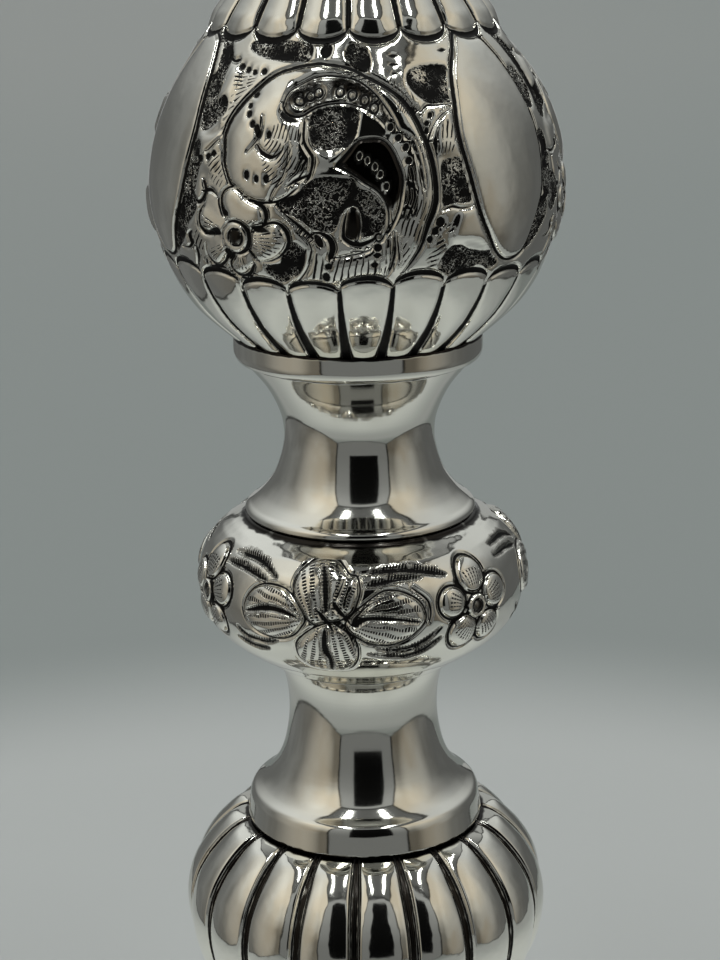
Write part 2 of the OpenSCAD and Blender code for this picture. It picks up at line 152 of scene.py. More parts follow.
def steel_paint(shade):
    return {
        "Base Color": grain(shade, 300).colours((0.42, 0.42, 0.44, 1), (0.56, 0.56, 0.58, 1)),
        "Metallic": 1.0,
        "Roughness": grain(shade, 900, 3.0) * 0.2 + 0.25,
    }


def filler_paint(shade):
    lumps = grain(shade, 700, 4.0, 0.7)
    return {
        "Base Color": lumps.colours((0.010, 0.009, 0.008, 1), (0.045, 0.038, 0.030, 1)),
        "Roughness": 0.85,
        "Normal": lumps.bump(0.8, 0.0006),
    }


steel = finish_of("steel", steel_paint)
hidden_finish = {"felt_pad": finish_of("felt", felt_paint), "base_weight": finish_of("filler", filler_paint)}
for node in ("base_plate", "rod_bridge", "tie_rod", "rod_washers", "rod_nuts"):
    hidden_finish[node] = steel
for node, material in hidden_finish.items():
    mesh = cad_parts[node].data
    mesh.materials.clear()
    mesh.materials.append(material)


# ---- Foot ----
# The foot is raised from sheet silver: an upright skirt, a domed band chased with scrolls, flowers and plain
# cartouches, and a fluted bell that rises to the stem. Lines and matted grounds are punched and blackened.

MM = 0.001


def smooth(points, steps):
    """Catmull-Rom curve through points, with that many steps from each to the next."""
    p = np.asarray(points, float)
    p = np.vstack([p[:1], p, p[-1:]])
    a, b, c, d = (p[k:len(p) - 3 + k, None, :] for k in range(4))
    t = np.linspace(0, 1, steps, endpoint=False)[None, :, None]
    line = 0.5 * (
        2 * b + (c - a) * t + (2 * a - 5 * b + 4 * c - d) * t ** 2 + (3 * b - a - 3 * c + d) * t ** 3
    )
    return np.vstack([line.reshape(-1, p.shape[1]), p[-1:]])


def lengths(line):
    """Length of the line up to each of its points."""
    return np.concatenate([[0], np.cumsum(np.hypot(*np.diff(line, axis=0).T))])


def even(line, step):
    """The same line with its points a given step apart."""
    line = np.asarray(line, float)
    along = lengths(line)
    at = np.linspace(0, along[-1], max(2, int(round(along[-1] / step)) + 1))
    return np.column_stack([np.interp(at, along, line[:, k]) for k in range(2)])


def soften(line, step, corner):
    """The line at an even step with its corners rounded: a running mean of about the corner's width."""
    fine = even(line, min(step, corner / 3) / 2)
    half = max(1, int(round(corner / np.hypot(*(fine[1] - fine[0])) / 2)))
    padded = np.vstack([np.repeat(fine[:1], half, 0), fine, np.repeat(fine[-1:], half, 0)])
    kernel = np.ones(2 * half + 1) / (2 * half + 1)
    mean = np.column_stack([np.convolve(padded[:, k], kernel, "valid") for k in range(2)])
    mean[0] = fine[0]
    mean[-1] = fine[-1]
    return thinned(mean, step)


def thinned(line, step):
    """Leaves out points where the line runs straight: a point stays after a turn of 3 degrees or a step."""
    kept = [0]
    heading = np.unwrap(np.arctan2(*np.gradient(line, axis=0).T[::-1]))
    along = lengths(line)
    for k in range(1, len(line) - 1):
        turn = abs(heading[k] - heading[kept[-1]])
        if turn > math.radians(3) or along[k] - along[kept[-1]] > step:
            kept.append(k)
    return line[kept + [len(line) - 1]]


def normals(line):
    """Unit vectors square to the line, outwards where the line runs upwards."""
    along = np.gradient(line, axis=0)
    along /= np.maximum(np.hypot(*along.T), 1e-9)[:, None]
    return np.column_stack([along[:, 1], -along[:, 0]])


def surface(name, grid, marks=None, wrap_rows=True):
    """Mesh object from a grid of points [row, column, xyz] in mm, or from a stack of such grids, closed round
    its columns, and round its rows too where wrap_rows. marks are values for each point, kept as attributes."""
    number = np.arange(grid.size // 3).reshape(-1, *grid.shape[-3:-1])
    up = np.roll(number, -1, 1)
    faces = np.stack([number, np.roll(number, -1, 2), np.roll(up, -1, 2), up], -1)
    faces = (faces if wrap_rows else faces[:, :-1]).reshape(-1, 4)
    mesh = bpy.data.meshes.new(name)
    mesh.vertices.add(number.size)
    mesh.vertices.foreach_set("co", (grid * MM).astype(np.float32).ravel())
    mesh.loops.add(faces.size)
    mesh.loops.foreach_set("vertex_index", faces.astype(np.int32).ravel())
    mesh.polygons.add(len(faces))
    mesh.polygons.foreach_set("loop_start", np.arange(0, faces.size, 4, dtype=np.int32))
    mesh.polygons.foreach_set("use_smooth", np.ones(len(faces), bool))
    mesh.update(calc_edges=True)
    for mark, values in (marks or {}).items():
        kept = mesh.attributes.new(mark, "FLOAT", "POINT")
        kept.data.foreach_set("value", values.astype(np.float32).ravel())
    piece = bpy.data.objects.new(name, mesh)
    bpy.context.scene.collection.objects.link(piece)
    return piece


def swept(outline, bearings, lift=0.0):
    """Points of an outline [radius, height] turned round the stem: x = r sin(t), y = -r cos(t). lift moves
    each point square to the outline."""
    outward = normals(outline)
    r = outline[:, :1] + outward[:, :1] * lift
    z = outline[:, 1:] + outward[:, 1:] * lift
    t = np.radians(bearings)[None, :]
    return np.stack([r * np.sin(t), -r * np.cos(t), z + 0 * t], -1)


def top_of(node):
    """Height of a node's top in mm."""
    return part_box(node)[1].z / MM


def dress(piece, body, material, node):
    """Gives a finished piece its material and body, and hides the CAD node that it stands for."""
    piece.data.materials.append(material)
    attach(piece, body)
    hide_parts(node)


def ramp(x):
    """0 below 0, 1 above 1, smooth between."""
    x = np.clip(x, 0, 1)
    return x * x * (3 - 2 * x)


# Drawing of chased work. A drawing is a flat sheet in mm, u to the right and v up, and each mark is kept as
# the distance to its edge, negative inside, so that the finish can draw its edge sharply between points.

FAR = 9.0
NO_MARK = 5.0


def in_frame(u, v, line, margin):
    """Whether each point lies in the upright frame round a line, a margin wider on all sides."""
    low = line.min(0) - margin
    high = line.max(0) + margin
    return (u > low[0]) & (u < high[0]) & (v > low[1]) & (v < high[1])


def along_strokes(u, v, points, widths, steps=5):
    """For a stroke along a curve, whose half width runs through widths from end to end: each point's distance
    from its middle line, the side it lies on (negative on the right), and the half width there. Points more
    than 3 mm outside the stroke's frame count as far."""
    line = smooth(points, steps) if len(points) > 2 else np.asarray(points, float)
    half = np.interp(np.linspace(0, 1, len(line)), np.linspace(0, 1, len(widths)), widths)
    close = in_frame(u, v, line, 3.0)
    pu = u[close]
    pv = v[close]
    best = np.full(pu.shape, FAR)
    side = np.ones(pu.shape)
    width = np.zeros(pu.shape)
    for (au, av), (bu, bv), wa, wb in zip(line[:-1], line[1:], half[:-1], half[1:]):
        du = bu - au
        dv = bv - av
        t = np.clip(((pu - au) * du + (pv - av) * dv) / max(du * du + dv * dv, 1e-9), 0, 1)
        far = np.hypot(pu - au - t * du, pv - av - t * dv)
        here = far < best
        best = np.where(here, far, best)
        side = np.where(here, np.sign(du * (pv - av) - dv * (pu - au)), side)
        width = np.where(here, wa + t * (wb - wa), width)
    distance = np.full(u.shape, FAR)
    sides = np.ones(u.shape)
    halves = np.zeros(u.shape)
    distance[close] = best
    sides[close] = side
    halves[close] = width
    return distance, sides, halves


def patch_edge(u, v, points, steps=5):
    """Distance to the edge of a closed patch with a smooth outline, negative inside. A point is inside where a
    level ray from it crosses the outline an odd number of times."""
    p = np.asarray(points, float)
    around = smooth(np.vstack([p[-1:], p, p[:2]]), steps)[steps:-steps]
    distance, sides, halves = along_strokes(u, v, around, (0, 0), 1)
    close = in_frame(u, v, around, 0.0)
    pu = u[close]
    pv = v[close]
    within = np.zeros(pu.shape, bool)
    for (au, av), (bu, bv) in zip(around[:-1], around[1:]):
        crosses = (av > pv) != (bv > pv)
        within ^= crosses & (pu < au + (pv - av) / ((bv - av) or 1e-9) * (bu - au))
    distance[close] *= np.where(within, -1, 1)
    return distance


BLANK_MARKS = {
    "cut": NO_MARK, "ground": NO_MARK, "hatch": NO_MARK, "row": 0.0, "dash": 0.0, "bold": 0.0,
    "near": NO_MARK, "side": NO_MARK, "half": 0.0, "soot": 0.0,
}


class Chasing:
    """Marks chased on a sheet of points u, v, kept as distances in mm so that the finish can draw their edges
    sharply between points. cut: edge of solid black dots and patches. ground: edge of the matted grounds.
    hatch, row, dash, bold: edge of a hatched patch, stroke counts across and along it, and the strokes' weight.
    near, side, half: distance from the nearest line, the same with a sign, and the line's half width. soot: how
    much the silver is tarnished at joints and grooves, and painted dark as a reflection in the hollows. lift: relief."""

    def __init__(self, u, v):
        self.u = u
        self.v = v
        self.lift = np.zeros(u.shape)
        for name, value in BLANK_MARKS.items():
            setattr(self, name, np.full(u.shape, value))

    def clear(self, where):
        """Takes every mark off the points where a condition holds."""
        for name, value in BLANK_MARKS.items():
            setattr(self, name, np.where(where, value, getattr(self, name)))

    def edge_of(self, points, steps=5):
        """Distance to the edge of a patch of this sheet."""
        return patch_edge(self.u, self.v, points, steps)

    def polar(self, centre):
        """Each point's distance from a centre, and its angle round it."""
        du = self.u - centre[0]
        dv = self.v - centre[1]
        return np.hypot(du, dv), np.arctan2(dv, du)

    def line(self, points, *widths):
        """Cuts a tapering line through points; its half width runs through widths."""
        self.contour(*along_strokes(self.u, self.v, points, widths))

    def contour(self, distance, sides, halves):
        """Cuts a line wherever a distance is under its half width."""
        here = distance - halves < self.near - self.half
        self.near = np.where(here, distance, self.near)
        self.side = np.where(here, distance * sides, self.side)
        self.half = np.where(here, halves, self.half)

    def outline(self, edge, half):
        """Cuts a line round a form, along the edge of its patch."""
        self.contour(np.abs(edge), np.sign(edge), half + 0 * edge)

    def blots(self, places, rim=None):
        """Punches oval dots, each [u, v, half width, half height]. With a rim, in mm, a bright ring of that width
        is left standing round the black; with a rim of 0 the dot is a dull bead in a black ring."""
        for cu, cv, wide, tall in places:
            away = np.hypot((self.u - cu) / wide, (self.v - cv) / tall)
            edge = (away - 1) * min(wide, tall)
            if rim is None:
                self.cut = np.minimum(self.cut, edge)
                continue
            self.clear(edge < 0.1)
            self.puff(edge, 0.15, 0.4)
            if rim:
                self.cut = np.minimum(self.cut, edge + rim)
            else:
                self.outline(edge, 0.18)
                self.soot = np.where(edge < 0, 0.5, self.soot)

    def solid(self, points):
        """Cuts a solid black patch."""
        self.cut = np.minimum(self.cut, self.edge_of(points, 3))

    def mat(self, points):
        """Mats the ground inside a patch."""
        self.ground = np.minimum(self.ground, self.edge_of(points))

    def paint_dark_reflection(self, points, share):
        """Paints a share of dark reflection in a patch, in the mark that also holds tarnished joints."""
        self.soot = np.maximum(self.soot, share * ramp(0.5 - self.edge_of(points)))

    def puff(self, edge, height, reach, power=2):
        """Raises what is inside an edge, steeply at the edge and level beyond reach."""
        d = np.clip(-edge / reach, 0, 1)
        self.lift = np.maximum(self.lift, height * (1 - (1 - d) ** power))

    def ridge(self, points, half, height):
        """Raises a round ridge along a line."""
        distance, sides, halves = along_strokes(self.u, self.v, points, (0, 0))
        d = np.clip(1 - distance / half, 0, 1)
        self.lift = np.maximum(self.lift, height * np.sqrt(d * (2 - d)))

    def rows(self, edge, row, dash, bold=0):
        """Hatches what is inside an edge; row and dash count the strokes across and along them."""
        here = edge < self.hatch
        self.row = np.where(here, row, self.row)
        self.dash = np.where(here, dash, self.dash)
        self.bold = np.where(here, bold, self.bold)
        self.hatch = np.minimum(self.hatch, edge)

    def fan(self, points, centre, pitch, dash=3.1, bold=0):
        """Hatches a patch with strokes that spread from a centre, pitch degrees apart and dash mm long."""
        reach, angle = self.polar(centre)
        self.rows(self.edge_of(points), np.degrees(angle) / pitch, reach / dash, bold)

    def arcs(self, points, centre, pitch):
        """Hatches a patch with strokes that run round a centre; pitch is in mm."""
        reach, angle = self.polar(centre)
        self.rows(self.edge_of(points), reach / pitch, angle * 2.5)

    def relief(self):
        """Lift of the finished skin: raised forms, less the grooves and the sunk grounds."""
        sunk = 0.35 * ramp((0.3 - self.ground) / 0.7)
        groove = 0.6 * np.clip(0.3 - np.minimum(self.cut, self.near - self.half), 0, 0.6)
        return self.lift - np.maximum(sunk, groove)

    def marks(self):
        """All marks but the relief, for the mesh to keep."""
        return {name: np.clip(getattr(self, name), -400, 400) for name in BLANK_MARKS}


DULL_SILVER = (0.90, 0.885, 0.815, 1)
BRIGHT_SILVER = (0.96, 0.95, 0.885, 1)
# Dark colour of tarnished joints and grooves, also used as a painted dark reflection in the chased hollows.
TARNISH_AND_REFLECTION = (0.030, 0.027, 0.024, 1)
BLACKENED = (0.0045, 0.004, 0.004, 1)


def silver_paint(chased):
    """Polished silver: clear reflections on a skin that is never quite even, with fine wiping marks, and tarnished
    joints, and on chased pieces a painted dark reflection in the hollows that shares that mark. Where it is
    chased, lines, dots and hatching are cut black, and the grounds are matted: black pits with fine crooked
    ridges of silver between them."""

    def paint(shade):
        smears = grain(shade, 35, 3.0, 0.6)
        fine = grain(shade, 900, 4.0, 0.7)
        swell = grain(shade, 75, 2.0, 0.4)
        ragged = grain(shade, 1500, 3.0, 0.6) - 0.5

        def mark(name):
            return shade.add("ShaderNodeAttribute", {"attribute_name": name}, output=2)

        bright = smears.colours(DULL_SILVER, BRIGHT_SILVER)
        blotch = grain(shade, 420, 1.5, 0.5) - 0.5
        # The soot mark is tarnish at joints and grooves, and in the chased hollows a painted dark reflection.
        soot = (mark("soot") + blotch * mark("soot").within(0.0, 0.15) * 1.2).within(0.2, 0.7)
        bright = soot.colours(bright, TARNISH_AND_REFLECTION)
        rough = smears * 0.05 + fine * 0.05 + 0.03 + soot * 0.12
        height = swell * 0.7 + fine * 0.012
        if not chased:
            skin = (height - soot * 0.3).bump(1.0, 0.00022)
            return {"Base Color": bright, "Metallic": 1.0, "Roughness": rough, "Normal": skin}

        wobble = grain(shade, 420, 2.0, 0.5) - 0.5
        away = mark("side").maths("ABSOLUTE") - mark("half")
        true_line = (mark("near") - mark("half")).within(0.5, 0.34)
        line = (away + ragged * 0.16 + wobble * 0.14).within(0.06, -0.05) * true_line
        dot = (mark("cut") + ragged * 0.2).within(0.08, -0.06)
        bevel = away.within(0.42, 0.0) * true_line

        ridges = (grain(shade, 1450, 2.0, 0.6) - 0.5).maths("ABSOLUTE")
        worn = grain(shade, 300, 2.0) * 0.26 - 0.119
        points = (ridges - worn).within(0.016, -0.016)
        matted = (mark("ground") + ragged * 0.5 + wobble * 0.4).within(0.08, -0.06)

        stripe = ((mark("row") + wobble * 0.8).maths("FRACT") - 0.5).maths("ABSOLUTE")
        nick = ((mark("dash") + wobble * 1.2).maths("FRACT") - 0.5).maths("ABSOLUTE")
        bold = mark("bold") * 0.1
        drawn = (stripe + wobble * 0.35 - bold).within(0.20, 0.11) * (nick + bold).within(0.46, 0.34)
        drawn = drawn * (mark("hatch") + wobble * 1.6).within(0.1, -0.4)

        black = line.largest(drawn, dot, matted * (1 - points * 0.95))
        dents = grain(shade, 210, 2.0, 0.4)
        depth = height * 0.4 + dents * 0.45 - matted * (1 - points) * 0.45 - bevel * 0.55 - drawn * 0.3 - dot * 0.4
        return {
            "Base Color": black.colours(bright, BLACKENED),
            "Metallic": 1 - black,
            "Specular IOR Level": 0.15,
            "Roughness": rough + black * 0.4 + matted * 0.12,
            "Normal": depth.bump(1.0, 0.00032),
        }

    return paint


plain_silver = finish_of("plain_silver", silver_paint(False))
chased_silver = finish_of("chased_silver", silver_paint(True))

# The drawing that fills each field: bearings in degrees and heights in mm of its strokes on the pear. The
# scroll's line runs round its ball, over the top and down to the bottom lobes.
DRAWN_AT = -11.0
SCROLL = [
    (-15.2, 238.8), (-18.3, 237.3), (-21.4, 236.5), (-26, 236.4), (-29.8, 237.1), (-32.9, 238.3), (-34.8, 239.2),
    (-37.2, 241.9), (-37.7, 243.8), (-38.5, 246.1), (-37.5, 248.5), (-34.8, 250.9), (-30.6, 253.3), (-26, 255.2),
    (-19, 256.4), (-13.3, 256.9), (-9.5, 256.9), (-1.8, 256.3), (4, 255), (9.8, 253.4), (14, 251.6), (17.1, 249),
    (19, 246.1), (20.2, 243.5), (20.9, 240), (20.7, 236.1), (18.5, 232.6), (16.6, 228.9), (12.5, 225),
]
VOLUTE = [(-14.1, 248.5), (-13.7, 245.7), (-12.2, 244.2), (-11.2, 243.3), (-11.8, 240.9), (-12.5, 240)]
RIM_OUTER = [
    (-20.6, 250.7), (-20, 252.2), (-18.3, 253.3), (-15.2, 254.2), (-11.4, 255), (-5.6, 255.1), (0.2, 254.6),
    (4, 253.5), (7.8, 251.4), (10.5, 249), (12, 247.1), (14.6, 245.6), (16.4, 243), (17.2, 239.5),
]
RIM_INNER = [
    (-20.6, 250.7), (-19.5, 249.7), (-16.8, 249.2), (-14.5, 249.5), (-12.5, 250.2), (-9.5, 250.9), (-3.7, 251.3),
    (0.2, 250.9), (3.6, 250.2), (6.7, 249), (9, 247.6),
]
LEAF_TOP = [(-4.8, 242.3), (-1.8, 244.2), (0.5, 245.7), (3.6, 246.1), (7.1, 245.9), (9.4, 244.7), (10.9, 242.8),
            (12.1, 240.4), (11.7, 238), (10.6, 235), (8.2, 231.8)]
LEAF_FOOT = [(-4.8, 242.3), (-3.7, 241.9), (-0.6, 240.9), (2.1, 239.7), (5.2, 238.5), (7.1, 237.1), (8.2, 235),
             (8.1, 232.8), (7, 231.4)]
BAND_INNER = [(12.6, 247), (15.5, 245.7), (17.1, 242.3), (17.6, 238.5)]
FIELD_LINES = [
    (SCROLL, (0.12, 0.2, 0.22, 0.3, 0.32, 0.3, 0.28, 0.3, 0.36, 0.45, 0.5, 0.1)),
    (VOLUTE, (0.2, 0.26, 0.2)),
    ([(-12.4, 240.7), (-15.2, 240), (-17.7, 239)], (0.14, 0.3, 0.06)),
    (RIM_OUTER, (0.1, 0.12, 0.16, 0.12, 0.1)), (RIM_INNER, (0.2, 0.2, 0.12, 0.1)),
    (LEAF_TOP, (0.3, 0.14, 0.12, 0.2, 0.14)), (LEAF_FOOT, (0.3, 0.16, 0.12, 0.1)), (BAND_INNER, (0.06, 0.16, 0.12)),
    ([(-26.2, 249), (-26, 247.1), (-27.2, 245.4), (-29.5, 243.8)], (0.05, 0.14, 0.06)),
    ([(-26.6, 244.9), (-25, 243.8), (-22.6, 243.2), (-21, 243.4), (-19.7, 244.1)], (0.12, 0.34, 0.34, 0.2, 0.05)),
    ([(-17.8, 244.6), (-17.8, 242.8), (-19, 240.4), (-21.4, 238.4), (-22.6, 237)], (0.05, 0.12, 0.1, 0.12, 0.06)),
    ([(-44.1, 243.3), (-42.4, 244), (-40, 245.5)], (0.06, 0.16, 0.06)),
    ([(-51, 241.5), (-49.3, 241.2), (-47.1, 241.2), (-45.4, 242.1)], (0.12, 0.22, 0.24, 0.3)),
    ([(-46.6, 257.3), (-44.3, 256.9), (-42.6, 257.1)], (0.3, 0.2, 0.3)),
    ([(-49.6, 240.1), (-49.3, 237.6), (-47.1, 236), (-45.7, 235.4), (-44.1, 236), (-42.8, 237.5)],
     (0.12, 0.2, 0.2, 0.3, 0.36, 0.26)),
    ([(-43.8, 238.7), (-42.8, 237.6), (-40.8, 237.6), (-39.1, 237)], (0.3, 0.3, 0.26, 0.1)),
    ([(-49.7, 230.3), (-51, 229.5), (-50.2, 228.5), (-52.3, 227.5), (-55, 227.5)], (0.2, 0.44, 0.44, 0.2, 0.08)),
    ([(-48.7, 227.5), (-48.8, 226.3), (-50.4, 224.5)], (0.34, 0.28, 0.1)),
    ([(-15.4, 232.3), (-12.8, 230.8), (-11.7, 229.5), (-11.9, 228.3), (-13.2, 226), (-15.4, 224.3), (-18, 223.4)],
     (0.06, 0.15, 0.12, 0.12, 0.06)),
    ([(-20.4, 236.1), (-18.6, 234.8), (-16, 233.6), (-13.6, 232.4), (-11.2, 231)], (0.14, 0.1, 0.24, 0.3, 0.2)),
    ([(-11, 231.9), (-8.9, 231.8), (-6.9, 231), (-6.1, 229.5), (-6.8, 228.1)], (0.1, 0.24, 0.42, 0.5, 0.44)),
    ([(-5.8, 227.9), (-1.5, 228.3), (2.4, 228.9), (3.8, 229.3)], (0.05, 0.1, 0.1, 0.05)),
    ([(-2.5, 235), (-3.2, 233), (-3.4, 231.2)], (0.1, 0.24, 0.3)),
    ([(-3.4, 231.2), (-1.5, 230.3), (1.1, 230), (4.4, 230.8)], (0.3, 0.4, 0.4, 0.2)),
    ([(0.6, 235), (1, 233), (0.4, 231)], (0.08, 0.14, 0.1)),
    ([(9.8, 231.8), (9.9, 229), (9.2, 226.5), (8.3, 224.9)], (0.08, 0.22, 0.2, 0.06)),
    ([(16.8, 250.6), (19, 249.8), (21.2, 250.6), (24, 250.6), (28, 250.6)], (0.08, 0.14, 0.2, 0.14, 0.08)),
    ([(22.9, 234.9), (25.4, 235.3), (28, 234.9), (31, 235)], (0.1, 0.2, 0.12, 0.08)),
    ([(20.5, 246), (22, 247.4), (25, 249), (29, 250)], (0.2, 0.1, 0.12, 0.05)),
]
GROUNDS = [
    [(-12.9, 248.5), (-12.2, 249.7), (-10.2, 250.4), (-6, 250.9), (-1.4, 250.8), (1.3, 250.2), (1.1, 248.8),
     (0.2, 246.6), (-1.8, 245), (-5.6, 244.7), (-10.2, 244.5), (-11.8, 245.7), (-12.5, 247.1)],
    [(-20.4, 236.1), (-18.3, 237.1), (-15.2, 238), (-13.3, 239.2), (-10.2, 240.4), (-5.6, 240.5), (-2.2, 240.3),
     (-0.6, 240.2), (0.9, 238.8), (3.6, 238.3), (6.3, 236.8), (7.2, 235.3), (7.2, 233.3), (5.9, 231.9), (2.4, 231.2),
     (1.2, 231.6), (1.2, 234), (0.2, 235.8), (-2.3, 235.8), (-4.1, 234.3), (-5.4, 232.4), (-7.1, 231.9), (-10.2, 232.3),
     (-12.3, 232.8), (-14.5, 233.8), (-16.7, 234.5), (-20, 235.2)],
    [(-18.2, 230.3), (-16.3, 230.3), (-14.5, 229.6), (-13.5, 228.5), (-13.9, 226.5), (-15.2, 225.3), (-17.1, 224.4),
     (-19.7, 223.6), (-21.5, 223.5), (-23.2, 224), (-25, 225), (-25.8, 226.5), (-23.7, 226.3), (-20.6, 226.8),
     (-20.2, 228.3), (-18.7, 228), (-18.7, 229.5)],
    [(-58.8, 260.7), (-55.4, 261.3), (-52.1, 260.9), (-50.2, 259.8), (-48.2, 258.7), (-46, 257.3), (-46.3, 254.8),
     (-46, 252.9), (-45.4, 251.2), (-43.8, 251.4), (-41.8, 251.8), (-40.4, 251.2), (-40, 250.1), (-40.7, 248.7),
     (-42.7, 247.9), (-44.6, 247), (-46.8, 246.4), (-48.8, 246.8), (-49.8, 247.9), (-49.6, 250.7), (-50.2, 252.9),
     (-50.7, 254.8), (-51.6, 256.2), (-53.8, 258.4), (-56.3, 259.8)],
    [(-39.9, 259.7), (-38.5, 258.7), (-34.5, 258), (-28.7, 257.5), (-22.9, 257.3), (-15.6, 257.3), (-14.4, 258.3),
     (-15, 259.8), (-20, 260.1), (-28, 260.2), (-36, 260.3)],
    [(-11.6, 258.6), (-10, 257.7), (-8, 258.2), (-7.8, 259.4), (-10, 260)],
    [(-3.1, 258.5), (-1.8, 257.1), (0.5, 256.2), (4, 255.7), (5.5, 256.7), (5.3, 258.2), (4, 259.4), (-1, 259.8)],
    [(16.5, 254), (17, 255.3), (19.7, 256.1), (25.6, 256.5), (30.2, 256.3), (31.6, 255.7), (30.4, 252.8), (30, 251.1),
     (27, 250.9), (22.5, 250.9), (19.3, 252), (17.5, 253)],
    [(22.7, 240.9), (23.4, 242.3), (25.6, 242.7), (28.8, 242.5), (31.4, 240), (32.3, 237.7), (31.6, 236), (29.3, 235.7),
     (25.6, 235.8), (22.9, 235.5), (22.7, 237.8)],
    [(22.2, 225.5), (23.4, 227.5), (25.2, 228.8), (27.9, 229), (31.1, 228.2), (35.6, 227.5), (40.2, 227.3), (42, 225.5),
     (39.3, 224.2), (35.6, 225.2), (32, 224.8), (27.9, 224.2), (24.7, 224.4)],
    [(-53.2, 238), (-50.2, 238), (-49.3, 236.5), (-46.9, 235.5), (-46.6, 234.3), (-48.4, 232.8), (-50.8, 231.6),
     (-53.2, 232), (-54.5, 233), (-54.1, 234.8)],
]
BLACK_PATCHES = [
    [(-21.6, 250), (-20.6, 249), (-19, 248.4), (-17.2, 248.3), (-15.6, 248.7), (-17, 249), (-19, 249.3),
     (-20.6, 249.9)],
    [(-11, 231.5), (-9, 231.3), (-8.4, 229.6), (-10, 230)],
    [(-39.8, 227.9), (-38.7, 228.8), (-37, 228.4), (-37.6, 227.2), (-38.8, 226.8)],
]
# Dots and beads: bearing, height, and half width and half height in mm.
DOTS = [
    (-30.4, 252.2, 0.62, 0.5), (-31.4, 250.6, 0.5, 0.42), (-30.9, 249.3, 0.55, 0.6), (-29.1, 247.9, 0.5, 0.62),
    (-27.5, 247.2, 0.52, 0.7), (-26.7, 246.5, 0.55, 0.75), (-23.6, 246.4, 0.45, 0.66), (-29, 240.4, 0.5, 0.8),
    (-26.1, 239.9, 0.44, 0.66), (-23.3, 240, 0.5, 0.76), (5.5, 229.5, 0.72, 0.55), (5.3, 228.3, 0.7, 0.5),
    (4.6, 226.8, 0.62, 0.5), (-7.4, 226.6, 0.66, 0.55), (-8.2, 224.8, 0.6, 0.8), (22, 233, 0.8, 0.85),
    (20.6, 231.6, 0.62, 0.7), (19.2, 230.3, 0.56, 0.65), (-45.6, 242.2, 0.66, 0.6), (-42.7, 242.6, 0.56, 0.55),
    (-40.9, 243.2, 0.5, 0.55), (-39.9, 256.2, 0.66, 0.5), (-36.8, 255.8, 0.55, 0.5), (-33.9, 255.5, 0.5, 0.42),
    (-30.4, 255.7, 0.55, 0.5), (21.8, 249.2, 0.45, 0.5), (20.4, 248, 0.5, 0.45), (20, 246.9, 0.45, 0.5),
    (-45.7, 225.6, 0.3, 0.5),
]
BEADS = [
    (-16.2, 251.5, 0.78, 0.66), (-13.1, 252.3, 0.7, 0.66), (-10.8, 252.8, 0.66, 0.66), (-4.3, 252.9, 0.66, 0.66),
    (-0.6, 252.5, 0.7, 0.72), (3, 251.7, 0.66, 0.78), (5.6, 250.5, 0.66, 0.78), (5.7, 231.1, 0.6, 0.62),
]
PEARLS = [
    (9.8, 247.7, 0.72, 0.78), (11.7, 246.1, 0.7, 0.78), (13.6, 244.7, 0.72, 0.8), (14.1, 242.7, 0.76, 0.8),
    (13.2, 257.9, 1.3, 0.44), (12.8, 256.7, 1.2, 0.44), (12.8, 255.5, 1.1, 0.42), (32, 258.4, 1.2, 0.42),
]
LEAF_PEARLS = [
    (1.1, 243.6, 0.66, 0.9), (3.1, 242.9, 0.62, 0.86), (5.1, 242, 0.64, 0.88), (6.4, 240.8, 0.66, 0.9),
    (7.8, 239, 0.7, 0.94),
]
# Hatching: a patch, the middle that its strokes spread from, their pitch in degrees, and where they aren't
# the usual ones their length in mm and weight.
FANS = [
    ([(-40.4, 255.2), (-37, 255.1), (-32, 255), (-34.6, 252.8), (-38, 249.6), (-39.4, 247), (-43, 246.4), (-41, 248),
      (-39.4, 250.4)], (-23.8, 255.4), 4.2),
    ([(-42.6, 242), (-39.4, 243.4), (-38.2, 241.6), (-36, 238.6), (-38.6, 238), (-41.6, 239.6)], (-22, 254), 2.1),
    ([(-47.4, 231.8), (-45.6, 231), (-44.6, 228), (-45.6, 225.6), (-48, 226.6), (-48.8, 229)],
     (-30, 246), 2.4, 3.1, 0.5),
    ([(-15, 228.6), (-10.6, 229.2), (-8.6, 228.2), (-9.2, 224.4), (-14, 223.4), (-16.6, 223.4)], (8, 262), 1.7, 9.7),
    ([(-6.4, 227.8), (0, 228.4), (5, 228), (5.4, 224.6), (-1, 224.5), (-7, 223.8)], (16, 258), 1.7, 9.7),
    ([(6.4, 229.6), (9.8, 231.6), (12, 231), (12.6, 227.6), (9.4, 225), (6, 225.6)], (14, 252), 1.6, 6.1),
    ([(20.4, 229.2), (23.6, 232.6), (25.8, 232), (25.6, 229.6), (22.8, 228), (21.6, 225.8), (17.4, 225.6)],
     (-8, 221.5), 2.3, 5.3, 0.7),
    ([(21.6, 245), (23, 247.2), (27.6, 248), (29.4, 245), (27, 243.6), (23, 243.2)], (22, 236), 4.4),
    ([(10, 254.9), (13, 254.6), (16, 252.6), (18.6, 250.4), (16.6, 249.6), (13.4, 251.9)], (2, 238), 2.4),
    ([(12.2, 250), (14, 252.9), (16, 253.4), (17.4, 250.6), (19.6, 249), (17.8, 248.8)], (6, 240), 2.2),
    ([(14, 254.8), (16, 255), (17.6, 252.4), (19.6, 250.2), (16, 251.4)], (18, 272), 1.6),
]
BALL_HATCH = [(-24.6, 245.4), (-20.4, 248), (-14.6, 247), (-12.8, 243.2), (-13.2, 240.4), (-20, 238.6), (-23.6, 239.6)]
BALL_MIDDLE = (-33, 248.4)
BAND_HATCH = [
    (12.6, 241.4), (14.8, 243.4), (16.6, 241.4), (18.2, 239.4), (19, 236), (17.4, 232), (14.6, 228.6), (11.4, 226),
    (10.4, 229), (11.4, 233.6), (12.2, 237.6),
]
